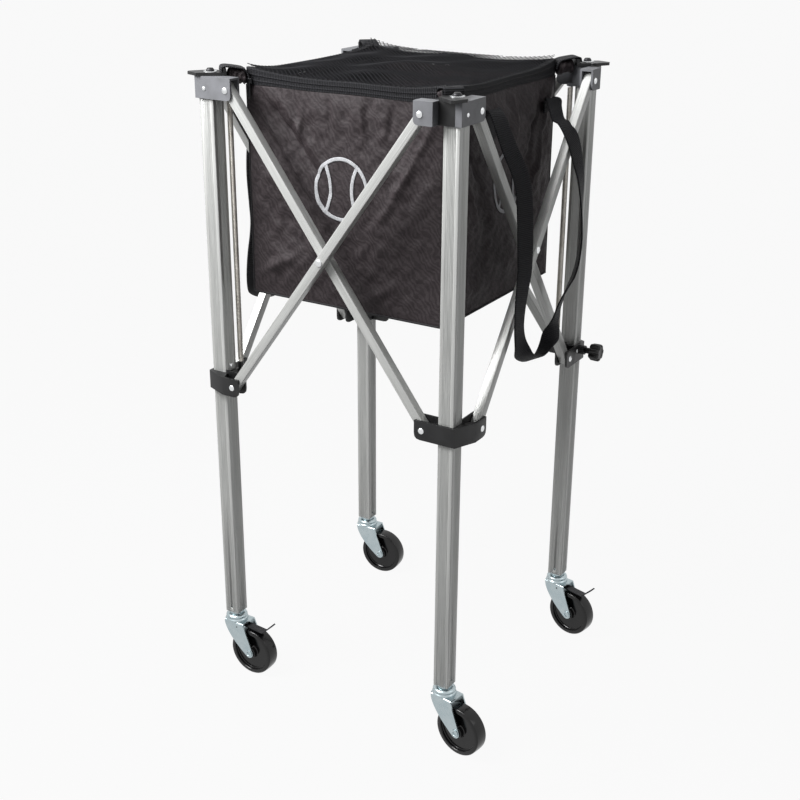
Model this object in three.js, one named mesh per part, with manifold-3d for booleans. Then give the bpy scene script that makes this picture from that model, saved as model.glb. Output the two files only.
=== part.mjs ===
// Folding ball cart: four square legs on casters, joined by crossed bars on every side, with a
// fabric ball bag hung from the four corners. Millimetres, +Z up, the wheels stand on z = 0.
import * as THREE from 'three';
import { mergeVertices } from 'three/addons/utils/BufferGeometryUtils.js';
import Module from 'manifold-3d';

const wasm = await Module();
wasm.setup();

// Clearances and the overrun of every cut
const touchGap = 0.3;
const slideGap = 0.35;
const pinGap = 0.2;
const overrun = 2;

// Frame: the legs stand a fixed distance outside the bag's walls
const bagHalf = 155;
const bagToLegAxis = 32.25;
const legSpacing = 2 * (bagHalf + bagToLegAxis);
const legSize = 23.5;
const legWall = 1.6;
const legCornerRadius = 1.4;
const legBottom = 100;
const fluteWidth = 1.4;
const fluteDepth = 0.35;
const flutePitch = 3.6;
const footHoleRadius = 1.9;
const footHoleHeight = 9;
const stopRivetRadius = 3.2;
const stopRivetDome = 1.6;
const stopRivetClear = 5;

// Crossed bars
const barSize = 13;
const barWall = 1.3;
const barEndReach = 8;
const barPlaneGap = 0.6;
const pivotReach = 35;
const topPivotHeight = 901.5;
const sliderPivotHeight = 488.5;
const pivotPinRadius = 2.5;
const pivotHeadRadius = 4.4;
const pivotHeadDome = 1.9;
const crossingHeadRadius = 5;
const domeShoulderShare = 0.72;
const domeRiseShare = 0.7;

// Top brackets
const pivotBelowTop = 16;
const bracketTop = topPivotHeight + pivotBelowTop;
const bracketHeight = 29;
const bracketWall = 3;
const wingReach = 44;
const wingCornerRadius = 7;
const outsetWingStart = 20;
const cornerStripReach = 6;
const legRivetRadius = 2.7;
const legRivetDome = 1.3;
const anchorLugWidth = 8;
const anchorLugHeight = 4;

// Corner hooks
const hookPlateThickness = 4;
const hookTailLength = 31;
const hookTailTurn = 20;
const hookTailWidth = 5;
const hookSideReach = 15;
const hookInnerReach = 20;
const hookLipThickness = 4;
const hookLipHeight = 5;
const hookLipWidth = 28;
const washerRadius = 9;
const washerThickness = 1;
const screwHeadRadius = 5.5;
const screwHeadHeight = 4;
const screwHeadTopRadius = 4;

// Sliders
const sliderHalfHeight = 13.5;
const sliderWall = 3.5;
const sliderArmReach = 46;
const sliderArmRadius = 9;
const sliderEarTopRise = 3;
const flareEnd = 17;
const springPostRadius = 4;
const springPostHeight = 23;

// Clamp knob on the back right slider
const clampRise = 5;
const clampHeight = sliderPivotHeight + clampRise;
const clampBossRadius = 7;
const clampBossLength = 9;
const clampScrewRadius = 3.5;
const clampStemRadius = 4.5;
const knobStemLength = 8.9;
const knobLength = 17;
const knobRadius = 13.5;
const knobLobes = 8;
const knobLobeDepth = 1.6;
const bossRivetRadius = 2.4;
const bossRivetDome = 1.2;
const bossRivetSpread = 9.8;

// Springs
const springOffset = 23.5;
const springRadius = 3;
const springWire = 1.2;
const springCurls = 10;
const springStepsPerCurl = 8;
const springSides = 5;

// Casters
const wheelRadius = 37.5;
const wheelWidth = 21;
const treadWidth = 16;
const wheelShoulder = 2.2;
const rimInnerRadius = 30.5;
const webRecess = 4.5;
const hubRadius = 9.5;
const hubWidth = 25.6;
const wheelBoreRadius = 4.3;
const wheelSegments = 24;
const casterTrail = 32.7;
const forkInside = 26.4;
const forkSheet = 2;
const forkAxleRadius = 7.5;
const crownHeight = 86;
const crownFrontReach = 16.5;
const crownRearReach = 23;
const raceRadius = 17.2;
const raceGrooveRadius = 15.2;
const raceUpperRadius = 16.3;
const raceCrownRadius = 11.5;
const raceHeight = 9.6;
const raceGrooveShare = 0.35;
const raceUpperShare = 0.6;
const axleRadius = 4;
const axleHeadRadius = 6;
const axleHeadThickness = 1.4;
const axleDimpleRadius = 2.6;
const stemRadius = 5;
const stemFlangeRadius = 10.5;
const stemRivetRadius = 8;
const stemRivetThickness = 2.2;
const stemPlugHeight = 30;

// Brake levers
const brakePivotBack = 11;
const brakePivotDrop = 5.5;
const brakeSheet = 1.6;
const brakeWidth = 13;
const brakeTipReach = 69;
const brakeTipRise = 16;
const brakeBendReach = 54;
const brakeBendDrop = 3;
const brakePinRadius = 1.8;

// Bag
const bagWall = 3;
const bagDepth = 288;
const bagSideBulge = 6;
const baseSag = 12;
const baseThickness = 3;
const bandRise = 1.5;
const bandHeight = 14;
const bandTop = bracketTop + bandRise;
const bandBottom = bandTop - bandHeight;
const bagBottom = bandBottom - bagDepth;
const bandThickness = 3.5;
const bandCornerRadius = 8;
const loopWidth = 26;
const loopThickness = 2.5;
const loopInnerRun = 24;
const loopHookDrop = 5;
const lidRise = 17;
const lidThickness = 2;
const zipBodyLength = 11;
const zipBodyHeight = 7;
const zipBodyThickness = 3.4;
const zipPullLength = 19;
const zipPullWidth = 5;
const zipPullThickness = 1.5;
const zipCornerClear = 9;
const zipTopDrop = 5.5;

// Carrying straps
const strapWidth = 25;
const strapThickness = 2.4;
const strapSeat = 1.5;
const strapReach = 64.5;
const strapSpread = 125.5;
const strapTopDrop = 18.5;
const strapDrop = 342;
const leftStrapReach = 69;
const leftStrapDrop = 326;

const half = legSpacing / 2;
const legHalf = legSize / 2;
const legTop = bracketTop - bracketWall - touchGap;
const bracketBottom = bracketTop - bracketHeight;

// Distances of the wall and bar planes outward from a leg's centre line
const flushWallInner = legHalf + touchGap;
const innerBarPlane = flushWallInner - slideGap - barSize / 2;
const outerBarPlane = innerBarPlane + barSize + barPlaneGap;
const outsetWallInner = outerBarPlane + barSize / 2 + slideGap;
const outsetBackOuter = outerBarPlane - barSize / 2 - slideGap;
const flushBackOuter = innerBarPlane - barSize / 2 - slideGap;

const barRun = legSpacing - 2 * pivotReach;
const barDrop = topPivotHeight - sliderPivotHeight;
const barLength = Math.hypot(barRun, barDrop);
const barTilt = Math.atan2(barRun, barDrop);

const pinSegments = 8;
const domeSegments = 9;
const roundSegments = 20;

const finish = {
  anodised: { color: 0xb9bab8, roughness: 0.42, metalness: 0.9 },
  zinc: { color: 0xbfc7cb, roughness: 0.25, metalness: 1 },
  greyNylon: { color: 0x76767a, roughness: 0.5, metalness: 0 },
  blackNylon: { color: 0x1d1d1e, roughness: 0.45, metalness: 0 },
  wheelPlastic: { color: 0x1a191a, roughness: 0.35, metalness: 0 },
  rivetSteel: { color: 0xd5d8da, roughness: 0.25, metalness: 1 },
  blackSteel: { color: 0x2c2c2e, roughness: 0.4, metalness: 0.6 },
  springSteel: { color: 0x8f8a84, roughness: 0.4, metalness: 0.9 },
  bagFabric: { color: 0x2b292b, roughness: 0.85, metalness: 0 },
  meshFabric: { color: 0x151516, roughness: 0.9, metalness: 0 },
  webbing: { color: 0x171719, roughness: 0.8, metalness: 0 },
};

const cart = new THREE.Group();

// Solids and booleans

function bare(geometry) {
  const plain = geometry.clone();
  plain.deleteAttribute('normal');
  plain.deleteAttribute('uv');
  return mergeVertices(plain);
}

function solid(geometry) {
  const merged = bare(geometry);
  const vertProperties = new Float32Array(merged.attributes.position.array);
  const triVerts = new Uint32Array(merged.index.array);
  return new wasm.Manifold(new wasm.Mesh({ numProp: 3, vertProperties, triVerts }));
}

function geometryOf(manifold) {
  const mesh = manifold.getMesh();
  const geometry = new THREE.BufferGeometry();
  geometry.setAttribute('position', new THREE.BufferAttribute(mesh.vertProperties, 3));
  geometry.setIndex(new THREE.BufferAttribute(mesh.triVerts, 1));
  geometry.computeVertexNormals();
  return geometry;
}

function joined(parts) {
  return parts.reduce((whole, part) => whole.add(part));
}

function place(parent, name, body, look) {
  const geometry = body instanceof THREE.BufferGeometry ? body : geometryOf(body);
  const mesh = new THREE.Mesh(geometry, new THREE.MeshStandardMaterial(finish[look]));
  mesh.name = name;
  parent.add(mesh);
  return mesh;
}

function block(xLow, xHigh, yLow, yHigh, zLow, zHigh) {
  const box = new THREE.BoxGeometry(xHigh - xLow, yHigh - yLow, zHigh - zLow);
  box.translate((xLow + xHigh) / 2, (yLow + yHigh) / 2, (zLow + zHigh) / 2);
  return solid(box);
}

// The outline lies across the named axis: on x it is drawn in (y, z), on y in (x, z), on z in (x, y).
function slab(axis, shape, low, high, curveSegments = 3) {
  const flat = new THREE.ExtrudeGeometry(shape, { depth: high - low, bevelEnabled: false, curveSegments });
  if (axis === 'z') {
    flat.translate(0, 0, low);
  } else if (axis === 'y') {
    flat.translate(0, 0, -high);
    flat.rotateX(Math.PI / 2);
  } else {
    flat.translate(0, 0, low);
    flat.rotateX(Math.PI / 2);
    flat.rotateZ(Math.PI / 2);
  }
  return solid(flat);
}

function outline(points) {
  return new THREE.Shape(points.map(([a, b]) => new THREE.Vector2(a, b)));
}

function rod(axis, radius, low, high, a, b, segments = pinSegments) {
  const cylinder = new THREE.CylinderGeometry(radius, radius, high - low, segments);
  cylinder.translate(0, (low + high) / 2, 0);
  if (axis === 'x') {
    cylinder.rotateZ(-Math.PI / 2);
    cylinder.translate(0, a, b);
  } else if (axis === 'y') {
    cylinder.translate(a, 0, b);
  } else {
    cylinder.rotateX(Math.PI / 2);
    cylinder.translate(a, b, 0);
  }
  return solid(cylinder);
}

// A round hole whose flats clear a pin of the given radius
function bore(axis, radius, low, high, a, b, segments = pinSegments) {
  return rod(axis, (radius + pinGap) / Math.cos(Math.PI / segments), low, high, a, b, segments);
}

// A rivet head: a low dome that stands on a flat, pointing along +Y before it is turned.
function dome(radius, height) {
  const profile = [
    new THREE.Vector2(0, -touchGap),
    new THREE.Vector2(radius, -touchGap),
    new THREE.Vector2(radius * domeShoulderShare, height * domeRiseShare),
    new THREE.Vector2(0, height),
  ];
  return new THREE.LatheGeometry(profile, domeSegments);
}

// Heads that face local +X (at y, z) and local -Y (at x, z)
function headOnX(radius, height, face, y, z) {
  const head = dome(radius, height);
  head.rotateZ(-Math.PI / 2);
  head.translate(face, y, z);
  return solid(head);
}

function headOnY(radius, height, face, x, z) {
  const head = dome(radius, height);
  head.rotateX(Math.PI);
  head.translate(x, -face, z);
  return solid(head);
}

// A wall with its free lower corner rounded, drawn from the leg outwards along a and up along b.
function wingOutline(start, end, low, high, radius) {
  const toward = Math.sign(end - start);
  const shape = new THREE.Shape();
  shape.moveTo(start, low);
  shape.lineTo(end - toward * radius, low);
  shape.quadraticCurveTo(end, low, end, low + radius);
  shape.lineTo(end, high);
  shape.lineTo(start, high);
  shape.closePath();
  return shape;
}

// Corners, counter-clockwise from the front right. A corner's own frame has the leg on z, with +X
// and -Y facing out of the cart; its +X side carries the flush channel, its -Y side the outset one.
const corners = [
  { name: 'front_right', turn: 0, heading: -9.5 },
  { name: 'back_right', turn: 1, heading: -10.4, brake: true, clamp: true },
  { name: 'back_left', turn: 2, heading: 3.4 },
  { name: 'front_left', turn: 3, heading: -0.5, brake: true },
];

for (const corner of corners) {
  const turned = new THREE.Group();
  turned.rotation.z = (corner.turn * Math.PI) / 2;
  const onLeg = new THREE.Group();
  onLeg.position.set(half, -half, 0);
  turned.add(onLeg);
  cart.add(turned);
  corner.group = onLeg;
  corner.place = new THREE.Vector3(half, -half, 0).applyEuler(turned.rotation);
}

// Leg: a square tube with shallow flutes on every face, a cross hole at the foot and a stop rivet

function flutedSquare() {
  const points = [];
  const flutes = [-1, 1];
  for (let side = 0; side < 4; side += 1) {
    const angle = (side * Math.PI) / 2;
    const face = [[legHalf, -legHalf + legCornerRadius]];
    for (const flute of flutes) {
      const middle = flute * flutePitch;
      face.push([legHalf, middle - fluteWidth / 2]);
      face.push([legHalf - fluteDepth, middle]);
      face.push([legHalf, middle + fluteWidth / 2]);
    }
    face.push([legHalf, legHalf - legCornerRadius]);
    for (const [x, y] of face) {
      points.push([x * Math.cos(angle) - y * Math.sin(angle), x * Math.sin(angle) + y * Math.cos(angle)]);
    }
  }
  return outline(points);
}

function legBody(corner) {
  const inner = legHalf - legWall;
  const shape = flutedSquare();
  shape.holes.push(new THREE.Path([
    new THREE.Vector2(-inner, -inner),
    new THREE.Vector2(-inner, inner),
    new THREE.Vector2(inner, inner),
    new THREE.Vector2(inner, -inner),
  ]));
  let leg = slab('z', shape, legBottom, legTop);
  leg = leg.subtract(rod('x', footHoleRadius, -legSize, legSize, 0, legBottom + footHoleHeight));
  const stopHeight = sliderPivotHeight + sliderHalfHeight + stopRivetClear + stopRivetRadius;
  const stop = dome(stopRivetRadius, stopRivetDome);
  stop.translate(0, legHalf, stopHeight);
  leg = leg.add(solid(stop));
  return leg;
}

for (const corner of corners) {
  place(corner.group, `leg_${corner.name}`, legBody(corner), 'anodised');
}

// Top bracket: a sleeve over the leg's end with a flush channel towards +Y and an outset one towards -X

function bracketBody() {
  const outer = flushWallInner + bracketWall;
  const low = bracketBottom;
  const high = bracketTop;
  const flushBack = flushBackOuter - bracketWall;
  const outsetBack = outsetBackOuter - bracketWall;
  const outsetOuter = outsetWallInner + bracketWall;
  const stepEnd = -outsetWingStart + bracketWall;
  const wing = (start, end) => wingOutline(start, end, low, high, wingCornerRadius);
  const parts = [
    slab('x', wing(-outer, wingReach), flushWallInner, outer),
    slab('x', wing(flushWallInner, wingReach), flushBack, flushBackOuter),
    block(cornerStripReach, outer, -outer, -flushWallInner, low, high),
    block(-outer, -flushWallInner, -outsetBackOuter, outer, low, high),
    block(-outer, outer, flushWallInner, outer, low, high),
    slab('y', wing(-outsetWingStart, -wingReach), -outsetOuter, -outsetWallInner),
    slab('y', wing(-flushWallInner, -wingReach), -outsetBackOuter, -outsetBack),
    block(-outsetWingStart, stepEnd, -outsetOuter, -outsetBack, low, high),
    block(-outer, outer, -flushWallInner, outer, high - bracketWall, high),
    block(flushBack, outer, outer - overrun, wingReach, high - bracketWall, high),
    block(-wingReach, stepEnd, -outsetOuter, -outsetBack, high - bracketWall, high),
    headOnX(legRivetRadius, legRivetDome, outer, 0, topPivotHeight),
    rod('x', pivotPinRadius, flushBack - pinGap, outer, pivotReach, topPivotHeight),
    headOnX(pivotHeadRadius, pivotHeadDome, outer, pivotReach, topPivotHeight),
    rod('y', pivotPinRadius, -outsetOuter, -outsetBack + pinGap, -pivotReach, topPivotHeight),
    headOnY(pivotHeadRadius, pivotHeadDome, outsetOuter, -pivotReach, topPivotHeight),
  ];
  const lug = new THREE.BoxGeometry(springOffset, anchorLugWidth, anchorLugHeight);
  lug.translate(-springOffset / 2 - springPostRadius, 0, low + anchorLugHeight / 2);
  lug.rotateZ(-Math.PI / 4);
  const trimSide = legHalf + touchGap;
  const lugTrim = block(-trimSide, legHalf, -legSize, trimSide, low - overrun, high - bracketWall);
  return joined(parts).add(solid(lug).subtract(lugTrim));
}

// Corner hook: a plate screwed down on the leg's end, with an outer tail, an inner lip that the
// bag's corner loop hangs on, and a skirt that fills the bracket's recess

function hookBody() {
  const low = bracketTop + touchGap;
  const high = low + hookPlateThickness;
  const tail = THREE.MathUtils.degToRad(hookTailTurn);
  const along = [Math.sin(tail), -Math.cos(tail)];
  const across = [Math.cos(tail), Math.sin(tail)];
  const tip = (reach, side) => [0, 1].map((axis) => along[axis] * reach + across[axis] * side);
  const inner = hookInnerReach / Math.SQRT2;
  const lipHalf = hookLipWidth / 2 / Math.SQRT2;
  const plate = outline([
    tip(hookTailLength, -hookTailWidth / 2),
    tip(hookTailLength, hookTailWidth / 2),
    tip(hookSideReach, hookSideReach),
    [-inner + lipHalf, inner + lipHalf],
    [-inner - lipHalf, inner - lipHalf],
    tip(hookSideReach, -hookSideReach),
  ]);
  const lip = new THREE.BoxGeometry(hookLipThickness, hookLipWidth, hookPlateThickness + hookLipHeight);
  lip.translate(-hookInnerReach + hookLipThickness / 2, 0, low + (hookPlateThickness + hookLipHeight) / 2);
  lip.rotateZ(-Math.PI / 4);
  const outer = flushWallInner + bracketWall;
  const skirtStart = -outsetWingStart + bracketWall + touchGap;
  const washerTop = high + washerThickness;
  const screw = new THREE.CylinderGeometry(
    screwHeadTopRadius, screwHeadRadius, screwHeadHeight, domeSegments,
  );
  screw.rotateX(Math.PI / 2);
  screw.translate(0, 0, washerTop + screwHeadHeight / 2);
  return joined([
    slab('z', plate, low, high),
    solid(lip),
    block(skirtStart, cornerStripReach - touchGap, -outer, -flushWallInner - touchGap, bracketBottom, high),
    rod('z', washerRadius, high - touchGap, washerTop, 0, 0, roundSegments),
    solid(screw),
  ]);
}

for (const corner of corners) {
  place(corner.group, `bracket_${corner.name}`, bracketBody(), 'greyNylon');
  place(corner.group, `hook_${corner.name}`, hookBody(), 'blackNylon');
}

// Slider: a sleeve that runs on the leg, with an arm flared outwards towards +Y, a flush arm
// towards -X, an ear behind each bar and a post for the spring's foot

function sliderBody(corner) {
  const inner = legHalf + slideGap;
  const outer = inner + sliderWall;
  const low = sliderPivotHeight - sliderHalfHeight;
  const high = sliderPivotHeight + sliderHalfHeight;
  const outsetOuter = outsetWallInner + sliderWall;
  const outsetBack = outsetBackOuter - bracketWall;
  const flushBack = flushBackOuter - bracketWall;
  const flare = outline([
    [inner, -outer],
    [outer, -outer],
    [outsetOuter, flareEnd],
    [outsetOuter, flareEnd + sliderWall],
    [outsetWallInner, flareEnd + sliderWall],
    [outer, outer],
    [inner, outer],
  ]);
  const arm = (start, end, top) => wingOutline(start, end, low, top, sliderArmRadius);
  const parts = [
    block(-outer, -inner, -outer, outer, low, high),
    block(-outer, outer, inner, outer, low, high),
    block(-outer, outer, -outer, -inner, low, high),
    slab('z', flare, low, high),
    slab('x', arm(flareEnd, sliderArmReach, high), outsetWallInner, outsetOuter),
    slab('y', arm(outer, -sliderArmReach, high), -outer, -inner),
    slab('x', arm(inner, sliderArmReach, high + sliderEarTopRise), outsetBack, outsetBackOuter),
    slab('y', arm(-inner, -sliderArmReach, high + sliderEarTopRise), -flushBackOuter, -flushBack),
    rod('x', pivotPinRadius, outsetBack - pinGap, outsetOuter, pivotReach, sliderPivotHeight),
    headOnX(pivotHeadRadius, pivotHeadDome, outsetOuter, pivotReach, sliderPivotHeight),
    rod('y', pivotPinRadius, -outer, -flushBack + pinGap, -pivotReach, sliderPivotHeight),
    headOnY(pivotHeadRadius, pivotHeadDome, outer, -pivotReach, sliderPivotHeight),
  ];
  const post = springOffset / Math.SQRT2;
  const foot = new THREE.BoxGeometry(springOffset - legHalf, anchorLugWidth, sliderHalfHeight);
  foot.translate(-(springOffset + legHalf) / 2, 0, sliderPivotHeight);
  foot.rotateZ(-Math.PI / 4);
  const sleeve = block(-inner, inner, -inner, inner, low - overrun, high + springPostHeight);
  parts.push(solid(foot).subtract(sleeve));
  const postTop = sliderPivotHeight + springPostHeight;
  parts.push(rod('z', springPostRadius, sliderPivotHeight, postTop, -post, post).subtract(sleeve));
  let slider = joined(parts);
  if (corner.clamp) {
    const bossEnd = -outer - clampBossLength;
    const boss = joined([
      rod('y', clampBossRadius, bossEnd, -inner, 0, clampHeight, roundSegments),
      headOnY(bossRivetRadius, bossRivetDome, outer, -bossRivetSpread, clampHeight),
      headOnY(bossRivetRadius, bossRivetDome, outer, bossRivetSpread, clampHeight),
    ]);
    slider = slider.add(boss);
    slider = slider.subtract(bore('y', clampScrewRadius, bossEnd - overrun, 0, 0, clampHeight, domeSegments));
  }
  return slider;
}

for (const corner of corners) {
  place(corner.group, `slider_${corner.name}`, sliderBody(corner), 'blackNylon');
}

// Clamp knob: a lobed head on a stem, with a screw through the slider's boss that bears on the leg

function clampKnobBody() {
  const lobed = new THREE.Shape();
  const steps = knobLobes * 3;
  for (let step = 0; step < steps; step += 1) {
    const angle = (step / steps) * 2 * Math.PI;
    const radius = knobRadius - (knobLobeDepth / 2) * (1 - Math.cos(angle * knobLobes));
    const point = [radius * Math.cos(angle), clampHeight + radius * Math.sin(angle)];
    if (step === 0) {
      lobed.moveTo(...point);
    } else {
      lobed.lineTo(...point);
    }
  }
  lobed.closePath();
  const bossEnd = legHalf + slideGap + sliderWall + clampBossLength;
  const knobStart = bossEnd + knobStemLength;
  return joined([
    slab('y', lobed, -knobStart - knobLength, -knobStart),
    rod('y', clampStemRadius, -knobStart - overrun, -bossEnd - touchGap, 0, clampHeight, domeSegments),
    rod('y', clampScrewRadius, -bossEnd - overrun, -legHalf - touchGap, 0, clampHeight, domeSegments),
  ]);
}

for (const corner of corners.filter((each) => each.clamp)) {
  place(corner.group, 'clamp_knob', clampKnobBody(), 'blackNylon');
}

// Springs: one close-wound extension spring beside each leg, from the bracket's lug to the slider's post

function springBody() {
  const foot = sliderPivotHeight + springPostHeight + touchGap;
  const head = bracketBottom - touchGap;
  const straight = springWire;
  const steps = springCurls * springStepsPerCurl;
  const coilLow = foot + straight + springWire;
  const coilHigh = head - straight - springWire;
  const path = [[0, foot], [0, foot + straight]];
  for (let step = 0; step <= steps; step += 1) {
    const climb = ((coilHigh - coilLow) * step) / steps;
    path.push([springRadius, coilLow + climb, (step / springStepsPerCurl) * 2 * Math.PI]);
  }
  path.push([0, head - straight], [0, head]);
  const points = path.map(([radius, z, angle = 0]) => (
    new THREE.Vector3(radius * Math.cos(angle), radius * Math.sin(angle), z)
  ));
  let leastGap = Infinity;
  for (let first = 2; first < points.length - 2; first += 1) {
    for (let second = first + springStepsPerCurl / 2; second < points.length - 2; second += 1) {
      leastGap = Math.min(leastGap, points[first].distanceTo(points[second]) - springWire);
    }
  }
  const tube = sweep(points, springSides, springWire / 2);
  tube.translate(-springOffset / Math.SQRT2, springOffset / Math.SQRT2, 0);
  return { tube, leastGap };
}

// A closed tube along a run of points, its rings turned to stay square to the run
function sweep(points, sides, radius) {
  const positions = [];
  const index = [];
  let side = new THREE.Vector3(1, 0, 0);
  points.forEach((point, at) => {
    const before = points[Math.max(at - 1, 0)];
    const after = points[Math.min(at + 1, points.length - 1)];
    const ends = at === 0 || at === points.length - 1;
    const along = ends ? new THREE.Vector3(0, 0, 1) : after.clone().sub(before).normalize();
    side = side.clone().addScaledVector(along, -side.dot(along)).normalize();
    const up = along.clone().cross(side);
    for (let corner = 0; corner < sides; corner += 1) {
      const angle = (corner / sides) * 2 * Math.PI;
      const spot = point.clone().addScaledVector(side, radius * Math.cos(angle));
      spot.addScaledVector(up, radius * Math.sin(angle));
      positions.push(spot.x, spot.y, spot.z);
    }
  });
  for (let ring = 0; ring + 1 < points.length; ring += 1) {
    for (let corner = 0; corner < sides; corner += 1) {
      const next = (corner + 1) % sides;
      const here = ring * sides;
      const there = here + sides;
      index.push(here + corner, here + next, there + next, here + corner, there + next, there + corner);
    }
  }
  const last = (points.length - 1) * sides;
  for (let corner = 1; corner + 1 < sides; corner += 1) {
    index.push(0, corner + 1, corner, last, last + corner, last + corner + 1);
  }
  const geometry = new THREE.BufferGeometry();
  geometry.setAttribute('position', new THREE.Float32BufferAttribute(positions, 3));
  geometry.setIndex(index);
  geometry.computeVertexNormals();
  return geometry;
}

for (const corner of corners) {
  const spring = springBody();
  place(corner.group, `spring_${corner.name}`, spring.tube, 'springSteel');
  console.log(`spring_${corner.name}: least gap between curls ${spring.leastGap.toFixed(2)} mm`);
}

// Crossed bars: on every side one bar in the leg's plane and one outside it, pinned where they cross

const sides = [
  { name: 'right', turn: 0 },
  { name: 'back', turn: 1 },
  { name: 'left', turn: 2 },
  { name: 'front', turn: 3 },
];

function barBody() {
  const low = -barLength - barEndReach;
  const reach = barSize / 2;
  const inner = reach - barWall;
  const tube = outline([[-reach, -reach], [reach, -reach], [reach, reach], [-reach, reach]]);
  tube.holes.push(new THREE.Path([
    new THREE.Vector2(-inner, -inner),
    new THREE.Vector2(-inner, inner),
    new THREE.Vector2(inner, inner),
    new THREE.Vector2(inner, -inner),
  ]));
  let bar = slab('z', tube, low, barEndReach);
  for (const height of [0, -barLength / 2, -barLength]) {
    bar = bar.subtract(bore('x', pivotPinRadius, -barSize, barSize, 0, height));
  }
  return bar;
}

// The rivet at the crossing is pressed into the inner bar, and the outer one turns on it. It starts
// at the inner bar's centre, on the line of its pin.
function innerBarBody() {
  const crossing = -barLength / 2;
  const face = barSize / 2;
  const outer = outerBarPlane - innerBarPlane + face + touchGap;
  const back = headOnX(crossingHeadRadius, pivotHeadDome, face, 0, -crossing).rotate([0, 180, 0]);
  return joined([
    barBody(),
    rod('x', pivotPinRadius + pinGap + touchGap, -face, face, 0, crossing),
    rod('x', pivotPinRadius, 0, outer + touchGap, 0, crossing),
    headOnX(crossingHeadRadius, pivotHeadDome, outer + touchGap, 0, crossing),
    back,
  ]);
}

for (const side of sides) {
  const turned = new THREE.Group();
  turned.rotation.z = (side.turn * Math.PI) / 2;
  cart.add(turned);
  const inner = place(turned, `bar_inner_${side.name}`, innerBarBody(), 'anodised');
  inner.position.set(half + innerBarPlane, -half + pivotReach, topPivotHeight);
  inner.rotation.x = barTilt;
  const outer = place(turned, `bar_outer_${side.name}`, barBody(), 'anodised');
  outer.position.set(half + outerBarPlane, half - pivotReach, topPivotHeight);
  outer.rotation.x = -barTilt;
}

// Casters. A caster's own frame has the swivel axis on z and the wheel trailing towards +X.

function stemBody() {
  const plugHalf = legHalf - legWall - slideGap / 2;
  const flangeTop = legBottom - touchGap;
  const raceTop = crownHeight + raceHeight;
  const plugTop = legBottom + stemPlugHeight;
  const plug = block(-plugHalf, plugHalf, -plugHalf, plugHalf, flangeTop - touchGap, plugTop);
  const rivetTop = crownHeight - forkSheet - touchGap;
  return joined([
    plug,
    rod('z', stemFlangeRadius, raceTop + touchGap, flangeTop, 0, 0, domeSegments),
    rod('z', stemRadius, rivetTop - stemRivetThickness, legBottom, 0, 0, domeSegments),
    rod('z', stemRivetRadius, rivetTop - stemRivetThickness, rivetTop, 0, 0, domeSegments),
  ]);
}

function forkSideOutline() {
  const shape = new THREE.Shape();
  const axleHigh = wheelRadius;
  const front = -crownFrontReach;
  const waist = (crownHeight + axleHigh) / 2 + forkSheet;
  const foot = axleHigh - forkAxleRadius;
  const back = casterTrail + forkAxleRadius;
  shape.moveTo(crownRearReach, crownHeight);
  shape.lineTo(front + forkSheet, crownHeight);
  shape.quadraticCurveTo(front, crownHeight, front, crownHeight - forkSheet);
  shape.quadraticCurveTo(front, crownHeight - raceRadius, 0, waist);
  shape.lineTo(casterTrail - forkAxleRadius, axleHigh - forkSheet);
  shape.quadraticCurveTo(casterTrail - forkAxleRadius / 2, foot, casterTrail + forkSheet, foot);
  shape.quadraticCurveTo(back, foot, back, axleHigh + forkSheet);
  shape.closePath();
  return shape;
}

function forkBody(brake) {
  const outside = forkInside / 2 + forkSheet;
  const crown = new THREE.Shape();
  crown.moveTo(crownRearReach, -outside);
  crown.lineTo(crownRearReach, outside);
  crown.lineTo(0, outside);
  crown.quadraticCurveTo(-crownFrontReach, outside, -crownFrontReach, 0);
  crown.quadraticCurveTo(-crownFrontReach, -outside, 0, -outside);
  crown.closePath();
  const race = new THREE.LatheGeometry([
    new THREE.Vector2(0, crownHeight - touchGap),
    new THREE.Vector2(raceRadius, crownHeight - touchGap),
    new THREE.Vector2(raceGrooveRadius, crownHeight + raceHeight * raceGrooveShare),
    new THREE.Vector2(raceUpperRadius, crownHeight + raceHeight * raceUpperShare),
    new THREE.Vector2(raceCrownRadius, crownHeight + raceHeight),
    new THREE.Vector2(0, crownHeight + raceHeight),
  ], roundSegments);
  race.rotateX(Math.PI / 2);
  const cutStart = -outside - overrun;
  const cutEnd = outside + overrun;
  let fork = joined([
    slab('z', crown, crownHeight - forkSheet, crownHeight),
    slab('y', forkSideOutline(), forkInside / 2, outside, 2),
    slab('y', forkSideOutline(), -outside, -forkInside / 2, 2),
    solid(race),
  ]);
  fork = fork.subtract(bore('z', stemRadius, 0, legBottom, 0, 0, domeSegments));
  fork = fork.subtract(bore('y', axleRadius, cutStart, cutEnd, casterTrail, wheelRadius, domeSegments));
  if (brake) {
    const brakePinHeight = crownHeight - forkSheet - brakePivotDrop;
    const pin = bore('y', brakePinRadius, cutStart, cutEnd, brakePivotBack, brakePinHeight);
    fork = fork.subtract(pin);
  }
  return fork;
}

function wheelBody() {
  const halfTread = treadWidth / 2;
  const halfWidth = wheelWidth / 2;
  const halfHub = hubWidth / 2;
  const web = halfWidth - webRecess;
  const rise = 1 / Math.cos(Math.PI / wheelSegments);
  const rightSide = [
    [wheelBoreRadius, halfHub],
    [hubRadius, halfHub],
    [hubRadius + wheelShoulder / 2, web],
    [rimInnerRadius - wheelShoulder / 2, web],
    [rimInnerRadius, halfWidth],
    [wheelRadius * rise - wheelShoulder, halfWidth],
    [wheelRadius * rise, halfTread],
  ];
  const leftSide = rightSide.map(([radius, offset]) => [radius, -offset]).reverse();
  const wheelOutline = [...rightSide, ...leftSide, rightSide[0]].reverse();
  const profile = wheelOutline.map(([radius, offset]) => new THREE.Vector2(radius, offset));
  const wheel = new THREE.LatheGeometry(profile, wheelSegments);
  wheel.rotateY(Math.PI / wheelSegments);
  return solid(wheel);
}

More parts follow.
